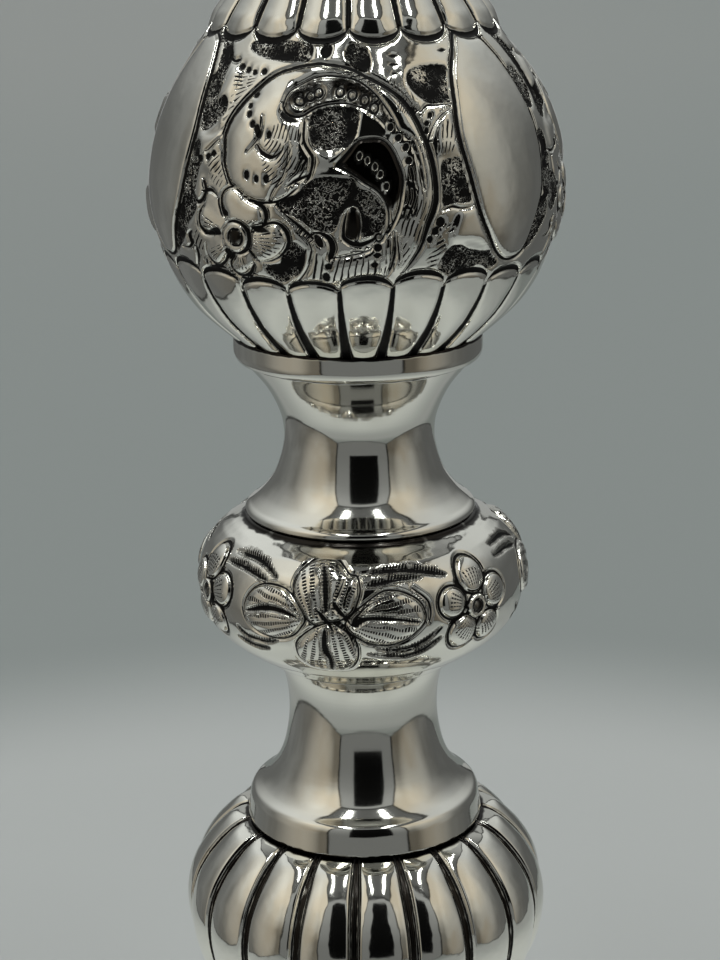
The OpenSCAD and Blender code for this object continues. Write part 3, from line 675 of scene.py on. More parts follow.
# Petals of the flower under the scroll: each an outline from its open end round its tip, with half widths,
# and the black tears between them.
FLOWER_AT = (-32.7, 230.6)
PETALS = [
    ([(-36.3, 234), (-37, 235.2), (-37.3, 236.5), (-36.5, 237.7), (-34.3, 238.4), (-31.9, 238), (-29.7, 237),
      (-27.6, 236.4), (-25.4, 236), (-23.9, 235.2), (-23.5, 234), (-24.3, 232.8)],
     (0.3, 0.34, 0.2, 0.16, 0.2, 0.3, 0.4, 0.2)),
    ([(-27.2, 232.3), (-24.8, 232.6), (-23.2, 233.1), (-21, 233.3), (-19.3, 232.8), (-18, 231.8), (-17.6, 230.5),
      (-18.4, 229.2), (-20.6, 227.8), (-23.4, 227), (-26, 226.8)], (0.3, 0.2, 0.26, 0.34, 0.3, 0.14, 0.05)),
    ([(-34.2, 228.4), (-34.5, 227.4), (-35.8, 226.5), (-36.4, 225.5), (-35.4, 224.6), (-33.7, 224.1), (-31.5, 224.3),
      (-29.7, 225), (-28.7, 226.1)], (0.4, 0.3, 0.2, 0.18, 0.24, 0.36, 0.2)),
    ([(-44.1, 228.6), (-44.2, 226.9), (-43, 225.8), (-40.8, 225.3), (-38.9, 225.8), (-37.6, 226.5), (-36.5, 227.3)],
     (0.06, 0.22, 0.26, 0.26, 0.34)),
    ([(-43.4, 235.2), (-44.6, 234.4), (-45.4, 233.6), (-45.6, 232.4), (-45, 231.4), (-43.2, 230.7), (-41, 230.6)],
     (0.1, 0.2, 0.3, 0.4, 0.3)),
]
TEARS = [
    [(-37.2, 236.6), (-36.4, 235.3), (-34.6, 234.4), (-34.9, 233.8), (-36.6, 233.9), (-37.2, 235)],
    [(-27.8, 232.6), (-25, 232.5), (-22.2, 232.1), (-24, 231.7), (-27.2, 231.8)],
    [(-30.2, 229.2), (-28.6, 228.6), (-27.2, 227.2), (-25.8, 226.3), (-27.2, 226.6), (-29.2, 227.8)],
    [(-37, 228.5), (-35.2, 228.7), (-34.3, 228), (-35, 227.2), (-36.4, 226.5), (-36.8, 227.4)],
    [(-44.2, 231), (-42, 231), (-40, 231.7), (-38.2, 231.8), (-37.6, 231.2), (-38, 230.6), (-41.4, 230.4),
     (-43.8, 230.3)],
]


# Forms that stand up from the field: outline, height, and how far in from its edge the slope runs.
FORMS = [
    (SCROLL[:14] + [(-19, 255.6), (-14.5, 252.6), (-14.5, 249.8), (-10.8, 247.4), (-10.4, 243.4)], 0.8, 4.6),
    (SCROLL[13:26] + RIM_OUTER[::-1], 0.4, 1.4),
    (SCROLL[22:] + [(8.4, 226), (11, 231), (12.4, 237), (14.8, 243)], 0.4, 2.6),
    ([(-20.2, 236), (-16, 233.6), (-12.4, 231), (-8.8, 231.8), (-6, 229.8), (-5.8, 227.9), (2.4, 228.9), (9.4, 230.6),
      (9, 226), (-6, 223.4), (-18, 223.4), (-13.2, 226), (-12.4, 229.4), (-15.4, 232.3)], 0.45, 1.4),
    ([(-45.2, 250.8), (-44, 256), (-38, 255), (-39.4, 250), (-40, 247), (-44, 246), (-49, 245.6), (-50, 241.6),
      (-46, 240.8), (-40, 239.8), (-39, 243), (-39.6, 246)], 0.5, 1.6),
    ([(25, 229.8), (26, 233.6), (29, 235), (33, 234.6), (37, 230), (39, 227.6), (32, 229.2)], 0.5, 1.6),
    ([(21, 245), (22.6, 248), (28, 250.4), (29.4, 246), (28.6, 243.4), (23, 243.2)], 0.5, 1.6),
]
# Hollows painted dark, each with its share: a painted dark reflection in the trough and the leaf's hollow, and the
# cleft in the ground darkened the same way.
HOLLOWS = [
    (RIM_OUTER[:10] + RIM_INNER[::-1], 0.62), (LEAF_TOP[:9] + LEAF_FOOT[6::-1], 0.9),
    ([(-2.4, 235), (0.4, 235), (0.8, 231.4), (-2.6, 231.2)], 0.8),
]


def chase_field(work, flat):
    """Chases one field on a sheet: scroll, trough, leaf, flower, beads, hatching and matted grounds. flat
    turns the drawing's bearings and heights to the sheet's own mm."""
    for form, height, reach in FORMS:
        work.puff(work.edge_of(flat(form)), height, reach)
    for rim in (RIM_OUTER, RIM_INNER, BAND_INNER, LEAF_TOP[:9], LEAF_FOOT[:7]):
        work.ridge(flat(rim), 0.45, 0.28)
    work.ridge(flat([(-10.6, 243.8), (-7, 243), (-4, 243.6), (-1.6, 245)]), 0.9, 0.4)
    for patch in GROUNDS:
        work.mat(flat(patch))
    for patch, centre, *spacing in FANS:
        work.fan(flat(patch), flat([centre])[0], *spacing)
    work.arcs(flat(BALL_HATCH), flat([BALL_MIDDLE])[0], 0.62)
    beside, sides, halves = along_strokes(work.u, work.v, flat(SCROLL[18:]), (0, 0))
    work.rows(work.edge_of(flat(BAND_HATCH)), beside / 0.72, work.v / 4.3 + work.u * 0.11)
    for points, widths in FIELD_LINES:
        work.line(flat(points), *widths)
    for patch in BLACK_PATCHES:
        work.solid(flat(patch))
    # Painted dark reflection: the hollows are darkened through the tarnish mark.
    for hollow, share in HOLLOWS:
        work.paint_dark_reflection(flat(hollow), share)
    for dots, *rim in ((DOTS,), (BEADS, 0), (PEARLS, 0.16), (LEAF_PEARLS, 0.22)):
        work.blots([(*flat([(t, z)])[0], wide, tall) for t, z, wide, tall in dots], *rim)
    chase_blossom(work, flat)


def chase_blossom(work, flat):
    """Chases the flower under the scroll: five broad petals that overlap round a ringed dark eye."""
    at = flat([FLOWER_AT])[0]
    from_eye, angle = work.polar(at)
    edges = [work.edge_of(np.vstack([flat(points), [at]])) for points, widths in PETALS]
    covered = np.minimum.reduce([from_eye - 3.2, *edges])
    work.clear(covered < 0)
    work.lift = np.where(covered < 0, 0, work.lift)
    for edge in edges:
        work.puff(edge, 0.5, 2.2)
    veined = (from_eye > 3.2) & (work.v < at[1] + 3)
    work.rows(np.where(veined, covered + 0.9, NO_MARK), angle * 9, from_eye / 2.2)
    for points, widths in PETALS:
        work.line(flat(points), *widths)
    for tear in TEARS:
        work.solid(flat(tear))
    chase_eye(work, at)


def chase_eye(work, at, size=1.0):
    """Chases a flower's middle: a dark sunk disc in a silver ring, and a black line round that."""
    from_eye = work.polar(at)[0] / size
    work.clear(from_eye < 2.5)
    work.lift = np.where(from_eye < 2.6, 0.55, work.lift)
    weight = 0.22 + 0.14 * (work.u - at[0]) / np.maximum(from_eye, 0.1)
    work.contour(np.abs(from_eye - 2.6), np.sign(from_eye - 2.6), np.where(from_eye < 3.4, weight, 0.0))
    work.cut = np.minimum(work.cut, np.abs(from_eye - 1.35) - 0.22)
    work.soot = np.where(from_eye < 1.4, 0.6, work.soot)


FOOT_R = 73.0
SEAT_R = 8.15
foot_top = top_of("foot")
dome_line = smooth([
    (FOOT_R - 1.8, 5.4), (FOOT_R - 3, 8), (FOOT_R - 6, 12.3), (FOOT_R - 11, 16.8), (FOOT_R - 17.5, 20.4),
    (FOOT_R - 24, 22.5), (FOOT_R - 28.2, 23.2),
], 8)
bell_line = smooth([(42.6, 24.4), (37.5, 26.4), (31.5, 30.2), (26.5, 35), (23, 40), (21, foot_top)], 8)
outer_foot = np.vstack([[(FOOT_R, 1), (FOOT_R, 4.4)], dome_line, [(43.8, 22.8), (43, 23.2)], bell_line])
outer_foot = even(soften(outer_foot, 0.3, 0.5), 0.68)
inner_foot = np.array([
    (SEAT_R, foot_top), (SEAT_R, foot_top - 1.5), (19, foot_top - 1.5), (40, 21), (71.8, 4), (71.8, 1)
])


def all_round(count):
    """Bearings of a number of columns that stand evenly round the stem."""
    return np.arange(count) * 360 / count


foot_bearings = all_round(600)
foot_along = lengths(outer_foot)
DOME_START = 5.2
DOME_END_R = 44.4
dome_length = np.interp(DOME_END_R, outer_foot[::-1, 0], foot_along[::-1]) - DOME_START
field_angle = 60
foot_turn = (foot_bearings + field_angle / 2) % field_angle - field_angle / 2
foot_r = outer_foot[:, 0]
foot_u = np.radians(foot_turn)[None, :] * foot_r[:, None]
foot_v = (foot_along - DOME_START)[:, None] + 0 * foot_u
foot_work = Chasing(foot_u, foot_v)
FOOT_SHRINK = 0.86
MM_PER_DEGREE = 0.6
DRAWN_FROM_Z = 224.6


def on_foot(points):
    """Drawing's bearings and heights, laid out flat and a little smaller on the dome of the foot."""
    p = np.asarray(points, float) - (DRAWN_AT, DRAWN_FROM_Z)
    return p * (MM_PER_DEGREE * FOOT_SHRINK, FOOT_SHRINK)


chase_field(foot_work, on_foot)
half_pitch = np.radians(field_angle / 2) * foot_r[:, None]
cartouche_half = 6.5 - 0.035 * (foot_v - 16) ** 2
cartouche = np.maximum(half_pitch - np.abs(foot_u) - cartouche_half, np.abs(foot_v - 15.5) - 13)
foot_work.clear(cartouche < 0.4)
foot_work.puff(cartouche, 0.9, 5.0)
foot_work.outline(cartouche, 0.3)
on_dome = (foot_v > 0) & (foot_v < dome_length)
foot_work.clear(~on_dome)
foot_work.lift = np.where(on_dome, foot_work.lift, 0)
foot_work.outline(foot_v - 0.2, 0.3)
FOOT_FLUTES = 24
flute = np.abs((foot_bearings * FOOT_FLUTES / 360) % 1 - 0.5)[None, :] * 2
flute_gap = flute * math.pi * foot_r[:, None] / FOOT_FLUTES
on_bell = ramp((42 - foot_r[:, None]) / 3) * ramp((foot_r[:, None] - 21.6) / 1.5)
on_bell = np.where(outer_foot[:, 1:] > 23.6, on_bell, 0)
foot_work.cut = np.where(on_bell > 0.2, np.minimum(foot_work.cut, flute_gap - 0.45), foot_work.cut)
foot_work.lift = foot_work.lift + on_bell * (1.1 * (1 - (1 - flute) ** 2) - 0.5)
ends = ramp((outer_foot[:, 1:] - 1.5) / 1.5) * ramp((foot_top - 0.6 - outer_foot[:, 1:]) / 1.0)


def bored(line, low_r=SEAT_R, high_r=SEAT_R):
    """Points that close an outer line with a bore, from its top down."""
    return np.array([(high_r, line[-1, 1]), (low_r, line[0, 1])])


def chased_skin(name, node, work, lift, line, closing, bearings):
    """Piece of the stick with a chased outside: its outer line with the relief on it, level at both ends, and
    plain rows inside that close it."""
    plain_rows = len(closing)
    grid = swept(np.vstack([line, closing]), bearings, np.vstack([lift, np.zeros((plain_rows, len(bearings)))]))
    grid[0, :, 2] = line[0, 1]
    grid[len(line) - 1, :, 2] = line[-1, 1]
    marks = {
        mark: np.vstack([values, np.full((plain_rows, len(bearings)), BLANK_MARKS[mark])])
        for mark, values in work.marks().items()
    }
    dress(surface(name, grid, marks), "stick", chased_silver, node)


chased_skin("silver_foot", "foot", foot_work, foot_work.relief() * ends, outer_foot, inner_foot, foot_bearings)


# ---- Rim wire and beading of the foot ----
# A half-round wire is soldered round the skirt, and a row of half beads in the crease between dome and bell.

def turned(name, body, outline, node, columns=256, inner=SEAT_R, dirt=(0, 0)):
    """Plain turned section: its outer outline with the corners softened, closed by a straight bore. dirt is how
    far the tarnished band of its joints reaches up from its foot and down from its top, in mm."""
    outer = soften(outline, 0.8, 0.35)
    if any(dirt):
        outer = even(outer, 0.3)
    z = outer[:, 1]
    soot = np.zeros(len(z) + 2)
    for reach, away in zip(dirt, (z - z[0], z[-1] - z)):
        if reach:
            soot[:-2] = np.maximum(soot[:-2], ramp(1.4 - away / reach))
    grid = swept(np.vstack([outer, bored(outer, inner, inner)]), all_round(columns))
    marks = {"soot": soot[:, None] + np.zeros(columns)}
    dress(surface(name, grid, marks), body, plain_silver, node)


WIRE_R = 1.7
turns = np.radians(np.linspace(-90, 90, 25))
wire_line = np.column_stack([FOOT_R + WIRE_R * np.cos(turns), 1 + WIRE_R + WIRE_R * np.sin(turns)])
turned("silver_rim_wire", "stick", wire_line, "foot_rim_wire", columns=384, inner=FOOT_R - 0.1)


def beads(name, body, count, ring_r, z, r, node):
    """Row of round beads: each is a small sphere of rings and segments, all in one mesh."""
    rings = np.radians(np.linspace(-90, 90, 9))[:, None]
    segments = np.radians(all_round(14))[None, :]
    side = np.cos(rings) * r + 0 * segments
    ball = np.stack([side * np.cos(segments), side * np.sin(segments), np.sin(rings) * r + 0 * side], -1)
    around = np.radians(all_round(count))
    centres = np.stack([ring_r * np.sin(around), -ring_r * np.cos(around), 0 * around + z], -1)
    piece = surface(name, ball + centres[:, None, None, :], wrap_rows=False)
    piece.modifiers.new("weld", "WELD").merge_threshold = 0.00001
    dress(piece, body, plain_silver, node)


beads("silver_beading", "stick", 72, 44.6, 23.2, 1.5, "foot_beading")


# ---- Ring and low spool ----
# Plain spun sections between foot and bulb: a rounded ring, then a waisted spool with a rim at its foot.

turned("silver_ring", "stick", smooth([
    (19.2, 0), (20.6, 0.6), (21.6, 2), (21.6, 4), (20.2, 5.5), (18.6, 6)
], 6) + (0, foot_top), "foot_ring")

low_spool_z = top_of("foot_ring")
turned("silver_low_spool", "stick", np.vstack([
    [(16.6, 0), (17.2, 0.5), (17.2, 1.6)],
    smooth([(16.6, 2.2), (14.4, 5), (12.6, 9), (12.1, 13), (12.8, 17), (14.6, 21), (17, 24)], 8),
]) + (0, low_spool_z), "low_spool", dirt=(0.5, 0.5))


# ---- Fluted bulb ----
# Raised in one piece and fluted by hand: round lobes stand between narrow grooves that are left black.

BULB_LOBES = 19
bulb_z = top_of("low_spool")
bulb_line = even(smooth([
    (17.6, 0), (22.8, 6.5), (27.4, 13.5), (31.2, 20.5), (32.6, 28), (31.8, 34), (29.4, 38.7), (25.8, 42.7),
    (23.3, 44.4), (21.2, 45)
], 12) + (0, bulb_z), 0.6)
bulb_r = bulb_line[:, :1]
bulb_h = bulb_line[:, 1:] - bulb_z
bulb_top = bulb_h[-1, 0]


def lobe_columns(count, first, per_lobe):
    """Bearings of the columns of a lobed skin, with so many to a lobe from the first groove on, and each one's
    distance from its nearest groove as a share of a lobe."""
    place = np.arange(count * per_lobe) / per_lobe % 1
    return first + all_round(count * per_lobe), np.minimum(place, 1 - place)[None, :]


bulb_bearings, from_groove = lobe_columns(BULB_LOBES, -4.0, 28)
bulb_gap = from_groove * 2 * math.pi * bulb_r / BULB_LOBES
bulb_work = Chasing(bulb_gap, 0 * bulb_gap)
groove_half = 0.68 - 0.25 * ramp((bulb_h - 41) / 4)
bulb_work.outline(bulb_gap - groove_half, 0.13)
groove_soot = 0.88 * ramp((groove_half + 0.1 - bulb_gap) / 0.25)
joint_soot = 0.8 * ramp(22.6 - bulb_r) * (bulb_h > 40)
bulb_work.soot = np.maximum(groove_soot, joint_soot)
bulb_work.lift = 0.85 * (1 - (1 - 2 * from_groove) ** 2) - 0.4 - 0.5 * ramp((groove_half + 0.2 - bulb_gap) / 0.5)
bulb_work.lift = bulb_work.lift * ramp((bulb_top + 0.1 - bulb_h) / 1.5)
chased_skin(
    "silver_bulb", "fluted_bulb", bulb_work, bulb_work.relief(), bulb_line, bored(bulb_line), bulb_bearings
)


# ---- Middle spool ----
# Plain spun spool with a flat rim that caps the bulb.

mid_spool_z = top_of("fluted_bulb")
turned("silver_mid_spool", "stick", np.vstack([
    [(20.9, 0), (21.4, 0.4), (20.8, 4.5), (20.5, 5.2)],
    smooth([
        (20.2, 5.6), (18.5, 6.8), (16.9, 8.5), (15.4, 10.9), (14.2, 14.4), (13.4, 19.5), (13.5, 24.5), (14.3, 28.3),
        (15.8, 31)
    ], 8),
]) + (0, mid_spool_z), "mid_spool", dirt=(0.7, 0.4))


# ---- Flowered knop ----
# Squat knop raised from sheet and chased all round: three groups of four leaves tied in a knot, and a
# five-petalled flower between each group and the next, with roped lines above and below the side leaves.

knop_z = top_of("mid_spool")
knop_line = np.vstack([
    [(16.2, 0), (17.3, 0.5), (19.6, 2.6)],
    smooth([
        (21.2, 3.2), (25.1, 6.2), (27.5, 9.2), (28.6, 12.5), (28.9, 16), (28.2, 19.5), (26.6, 22.4), (24.4, 24.6)
    ], 8),
    [(22.6, 25.6), (21.2, 26.2), (20.5, 26.6), (20.3, 27)],
]) + (0, knop_z)
knop_line = even(soften(knop_line, 0.25, 0.5), 0.33)
knop_bearings = all_round(600)
KNOP_GROUPS = (-12, 105, 231)
KNOP_FLOWERS = (42, 168, 294)
FLOWER_Z = 166.2


def from_nearest(bearings, centres, r):
    """Distance from the nearest of several bearings, in mm round the skin at each row's radius."""
    off = (bearings[:, None] - np.array(centres) + 180) % 360 - 180
    return np.radians(off[np.arange(len(off)), np.abs(off).argmin(1)]) * r


knop_r = knop_line[:, :1]
knop_u = from_nearest(knop_bearings, KNOP_GROUPS, knop_r)
knop_v = knop_line[:, 1:] + 0 * knop_u
knop_work = Chasing(knop_u, knop_v)


def laid_flat(line, middle):
    """Function that lays a drawing out flat in mm: its bearings, less the middle's, along the skin that is
    turned from a line, and its heights as they are."""
    def flat(points):
        p = np.asarray(points, float)
        r = np.interp(p[:, 1], line[:, 1], line[:, 0])
        return np.column_stack([np.radians(p[:, 0] - middle) * r, p[:, 1]])

    return flat


on_knop = laid_flat(knop_line, -12.5)
# Leaves: outline, the vein, the vein's half widths, and the middle that the hatching spreads from.
LEAVES = [
    ([(-16.7, 165.5), (-22, 168.2), (-25, 171.1), (-24, 173.5), (-19.3, 175.1), (-12.7, 175.5), (-8, 174.8),
      (-4.7, 173.5), (-2, 173.2), (-1, 171.1), (-2.7, 168.5), (-4.7, 167.3), (-10, 166)],
     [(-14.3, 173.8), (-12.7, 171.1), (-12.3, 168.2)], (0.14, 0.34, 0.2), (-12, 160)),
    ([(-16.4, 165), (-22.7, 162.3), (-23.7, 160), (-22.7, 158.2), (-19.3, 156.7), (-12, 156.2), (-5.3, 156.7),
      (-2.3, 158.8), (-2, 161.7), (-4.7, 164.6), (-9.3, 166.2)],
     [(-12.7, 164.6), (-13, 161.7), (-11.3, 159.4), (-11.7, 157)], (0.24, 0.34, 0.24, 0.14), (-12, 172)),
    ([(-19.8, 166.8), (-21.3, 164.6), (-24.7, 162.9), (-30, 162), (-37.3, 162.4), (-42, 163.8), (-44, 166.3),
      (-42.7, 168.6), (-39.3, 170.4), (-33.3, 171.1), (-26, 170.4)],
     [(-41, 166.3), (-34, 167.3), (-28.7, 167.4), (-22.7, 166.7)], (0.12, 0.3, 0.26, 0.12), (-12, 167)),
    ([(-6, 166), (-0.7, 162.9), (3.3, 162), (8.7, 161.7), (14.7, 162.6), (19.3, 164.4), (21.3, 166.1), (20, 168.5),
      (16, 170.2), (10, 171.1), (4, 170.4)],
     [(-2.7, 166.1), (1.3, 166.9), (10, 166.6), (18, 165.8)], (0.44, 0.26, 0.2, 0.1), (-12, 167)),
]
for leaf, vein, weight, centre in LEAVES:
    edge = knop_work.edge_of(on_knop(leaf))
    knop_work.clear(edge < 0)
    knop_work.puff(edge, 0.75, 1.8)
    knop_work.outline(edge, 0.17)
    reach, angle = knop_work.polar(on_knop([centre])[0])
    knop_work.rows(edge + 0.45, np.degrees(angle) / 6.6, reach / 0.46, 1)
    away, sides, halves = along_strokes(knop_u, knop_v, on_knop(vein), weight)
    knop_work.clear(away < halves + 0.55)
    knop_work.rows(np.where(away < 1.5, away - halves - 0.4, NO_MARK), reach / 0.46, 0.5 + 0 * away, 1.5)
    knop_work.contour(away, sides, halves * 1.35)
for line, widths in [
    ([(17.3, 171.1), (22, 169.1), (23, 167), (22.3, 165.2)], (0.1, 0.22, 0.1)),
    ([(-3.3, 166.7), (2, 169.1), (8.7, 170.2)], (0.2, 0.14, 0.06)),
    ([(-6.7, 172.3), (-8.7, 170.2)], (0.1, 0.2)),
    ([(-15.3, 168.1), (-13, 166.9), (-10, 164.9)], (0.1, 0.42, 0.16)),
    ([(-9.3, 168.9), (-7, 167.6), (-4, 165.8)], (0.4, 0.36, 0.1)),
    ([(-9.6, 166), (-5, 164.2), (-2.8, 161)], (0.2, 0.16, 0.06)),
]:
    knop_work.line(on_knop(line), *widths)
# Roped lines lie above and below the side leaves: each is a comb of short upright nicks.
ROPES = [
    [(-0.7, 173.5), (8, 173.9), (18, 173.8), (26.7, 173), (31, 172.3)],
    [(0, 171.8), (5.3, 172.3), (12.7, 172.7), (21.3, 172.6)],
    [(-57, 173.9), (-48.7, 174.2), (-40, 173.8), (-32.7, 172.3)],
    [(-59, 172.4), (-50, 172.6), (-42, 172.1), (-36.7, 171.5)],
    [(4.7, 161.2), (10, 160.8), (16.7, 161.2), (22, 162.4), (26.7, 164.1)],
    [(1.7, 160.1), (8, 159.6), (14.7, 159.4), (21.3, 160.4), (26.7, 162.1)],
    [(-48, 162.3), (-44, 161.2), (-36.7, 160.9), (-31.3, 161.5)],
    [(-49.3, 160.2), (-42, 159.5), (-35.3, 159.6)],
]
for rope in ROPES:
    away, sides, halves = along_strokes(knop_u, knop_v, on_knop(rope), (0.0, 0.42, 0.5, 0.46, 0.1))
    offset = away * sides
    knop_work.rows(np.where(away < 1.4, away - halves - 0.3, NO_MARK), knop_u / 0.54, 0.5 + 0 * away, 2)
    edge = np.where(away < 1.4, np.abs(offset + halves * 0.5), NO_MARK)
    knop_work.contour(edge, np.sign(offset), halves * 0.45)
# Petals: bearing from the eye in degrees, distance from it and radius.
KNOP_PETALS = [(90, 5.1, 3.0), (163, 5.2, 2.8), (236, 4.9, 3.1), (305, 5.2, 2.8), (17, 5.0, 3.0)]
knop_work.u = from_nearest(knop_bearings, KNOP_FLOWERS, knop_r)


def from_flower(bearing, reach):
    """Point of the flat sheet by its bearing and distance from the flower's eye."""
    turn = math.radians(bearing)
    return reach * math.cos(turn), FLOWER_Z + reach * math.sin(turn)


petal_edges = [
    knop_work.polar(from_flower(bearing, reach))[0] - petal_r for bearing, reach, petal_r in KNOP_PETALS
]
edge = np.minimum.reduce(petal_edges)
knop_work.clear(edge < 0.2)
for petal_edge in petal_edges:
    knop_work.puff(petal_edge, 0.6, 2.4)
knop_work.outline(edge, 0.22)
from_eye, angle = knop_work.polar((0, FLOWER_Z))
stipple = np.where((from_eye > 2.6) & (from_eye < 6.2), edge + 0.9, NO_MARK)
knop_work.rows(stipple, angle * 8.3, from_eye / 0.5, 0.4)
for bearing, _, _ in KNOP_PETALS:
    knop_work.line([from_flower(bearing + 36, reach) for reach in (3.0, 4.2, 5.6)], 0.1, 0.26, 0.42)
chase_eye(knop_work, (0, FLOWER_Z), 0.82)
knop_h = knop_v - knop_z
knop_fade = ramp((knop_h - 4) / 1.5) * ramp(25.3 - knop_h)
knop_work.clear(knop_fade < 0.02)
knop_work.contour(np.abs(knop_h - 3), np.sign(knop_h - 3), 0.26 + 0 * knop_h)
knop_work.soot = np.maximum(knop_work.soot, 0.8 * ramp((knop_h - 26) / 0.5))
chased_skin(
    "silver_knop", "flowered_knop", knop_work, knop_work.relief() * knop_fade, knop_line, bored(knop_line),
    knop_bearings
)


# ---- Top spool and collar ----
# Plain spun spool with a thin rim on the knop, and the plain band that carries the pear.

top_spool_z = top_of("flowered_knop")
turned("silver_top_spool", "stick", np.vstack([
    [(19.7, 0), (20.2, 0.4), (20.2, 1.1), (19.7, 1.6)],
    smooth([(19.2, 1.9), (17, 3.9), (14.9, 6.9), (13.5, 11), (13.1, 14.5), (13.8, 18.3), (16.1, 23), (19.8, 27.5)], 8),
]) + (0, top_spool_z), "top_spool", dirt=(0.3, 0.25))

collar_z = top_of("top_spool")
COLLAR_R = 21.5
turned("silver_collar", "stick", np.array([
    (20.2, 0), (20.9, 0.3), (COLLAR_R - 0.2, 0.9), (COLLAR_R, 1.6), (COLLAR_R, 4.5)
]) + (0, collar_z), "pear_collar", dirt=(0.2, 0.45))


# ---- Pear ----
# The main piece, raised and chased by hand: round lobes at the bottom and on the shoulder, and between them
# three plain pointed windows and three fields of scrolls, flowers and beads on matted black grounds.

pear_z = top_of("pear_collar")
pear_line = even(smooth([
    (21.4, 0), (27.8, 6), (32.4, 13), (35, 22), (34.5, 31), (31.6, 40), (27, 48), (21.2, 56), (15.6, 64), (11.4, 72),
    (9.2, 81)
], 16) + (0, pear_z), 0.2)
SHOULDER_Z = 266
fine_rows = pear_line[:, 1] < SHOULDER_Z
pear_line = np.vstack([even(pear_line[fine_rows], 0.52), even(pear_line[~fine_rows], 0.9)])
pear_bearings = all_round(576)
WINDOWS = (-67, 46, 169)
FIELDS = (-9, 109, 233)
pear_r = pear_line[:, :1]
pear_u = from_nearest(pear_bearings, FIELDS, pear_r)
pear_v = pear_line[:, 1:] + 0 * pear_u
pear_work = Chasing(pear_u, pear_v)


chase_field(pear_work, laid_flat(pear_line, -9.0))

# Windows: a plain dome with a pointed top inside a heavy line, between two narrow matted strips.
WINDOW = [
    (-4.4, 261), (-9.2, 258.4), (-13.4, 255), (-15.4, 251), (-16.4, 246), (-14.9, 240.4), (-12.3, 234.2), (-8.8, 230),
    (-5, 226.8), (0, 225.2), (6, 226.2), (9.8, 230.9), (13.3, 235.5), (15.1, 240.2), (16.2, 245), (16, 248.4),
    (14.8, 252), (13, 255.2), (10.4, 257.8), (6.4, 260)
]
window_u = from_nearest(pear_bearings, WINDOWS, pear_r)
pear_work.u = window_u
at_window = laid_flat(pear_line, 0.0)
window = pear_work.edge_of(at_window(WINDOW))
pear_work.clear(window < 0.6)
pear_work.lift = np.where(window < 0.6, 0, pear_work.lift)
pear_work.puff(window, 0.42, 9, 4)
pear_work.outline(window, 0.2 + 0.16 * np.clip(np.abs(window_u) / 8, 0, 1))
STRIPS = [
    [(13.3, 254.4), (17.4, 255), (19.6, 254), (21.2, 252), (21, 250.2), (19.2, 248.6), (16.9, 248.6), (15.2, 251)],
    [(17.1, 244.8), (20.1, 244.8), (20.8, 242.5), (19.9, 237.8), (17.8, 234.4), (14.4, 234.8), (15.4, 239),
     (16.6, 242.5)],
    [(11.5, 234), (15.5, 234.4), (16.7, 232), (14.2, 229.4), (9.6, 227), (7.2, 226.3), (9, 229.4)],
]
for strip in STRIPS:
    pear_work.mat(at_window(strip))

# Bottom lobes end in round tops, and shoulder lobes in round feet.
LOW_LOBES = 24
HIGH_LOBES = 18
LOW_FIRST = -5.0
HIGH_FIRST = -2.0
LOBE_TOP = 222.0
LOBE_FOOT = 262.4
SEAMS_END = 281
DOMES_END = 283


def lobe_cell(count, first):
    """Place across each point's lobe from -1 to 1, and half the lobe's pitch in mm."""
    place = (pear_bearings - first) * count / 360 % 1 * 2 - 1
    return place[None, :] + 0 * pear_r, math.pi / count * pear_r


low_across, low_half = lobe_cell(LOW_LOBES, LOW_FIRST)
high_across, high_half = lobe_cell(HIGH_LOBES, HIGH_FIRST)
lobe_number = (np.floor((pear_bearings - LOW_FIRST) * LOW_LOBES / 360) + LOW_LOBES / 2) % LOW_LOBES - LOW_LOBES / 2
arch = LOBE_TOP + 2.2 * np.sqrt(1 - low_across ** 2) + 0.7 * np.sin(1.26 * lobe_number[None, :] + 0.3)
sag = LOBE_FOOT - 2.2 * np.sqrt(1 - high_across ** 2)
low_side = low_half * (1 - np.abs(low_across))
high_side = high_half * (1 - np.abs(high_across))
low_width = 0.76 - 0.42 * ramp((pear_v - pear_z) / 14)
high_width = 0.4 - 0.3 * ramp((pear_v - SHOULDER_Z) / 16)
in_low = pear_v < arch
in_high = pear_v > sag
pear_work.clear(in_low | in_high)
pear_work.cut = np.where(in_low, low_side - low_width, pear_work.cut)
pear_work.cut = np.where(in_high & (pear_v < SEAMS_END), high_side - high_width, pear_work.cut)
for line_z, across in ((arch, low_across), (sag, high_across)):
    away = np.abs(pear_v - line_z) * 0.92
    pear_work.contour(np.where(away < 3, away, NO_MARK), np.sign(pear_v - line_z), 0.44 - 0.3 * across ** 4)
low_dome = 0.5 * (1 - low_across ** 2) * ramp((arch - pear_v) / 10)
high_dome = 0.8 * (1 - high_across ** 2) * ramp((pear_v - sag) / 3) * ramp((DOMES_END - pear_v) / 12)
pear_work.lift = np.where(in_low, low_dome, np.where(in_high, high_dome, pear_work.lift))
pear_work.soot = np.maximum(pear_work.soot, 0.8 * ramp((pear_z + 0.3 - pear_v + 0.9 * ramp(1 - low_side)) / 0.8))
pear_fade = ramp((pear_v - pear_z + 1.2) / 1.5) * ramp((top_of("pear_body") - 4 - pear_v) / 3)
NECK_SEAT_R = 5.75
chased_skin(
    "silver_pear", "pear_body", pear_work, (pear_work.relief() - 0.35) * pear_fade, pear_line,
    bored(pear_line, high_r=NECK_SEAT_R), pear_bearings
)


# ---- Neck ring and neck ----
# A small spun ring, and a slender neck whose flared top takes the tube of the drip pan.

neck_ring_z = top_of("pear_body")
turned("silver_neck_ring", "stick", smooth([
    (9.4, 0), (11, 0.6), (11.8, 2), (11, 3.4), (9.6, 4)
], 8) + (0, neck_ring_z), "neck_ring", inner=NECK_SEAT_R)

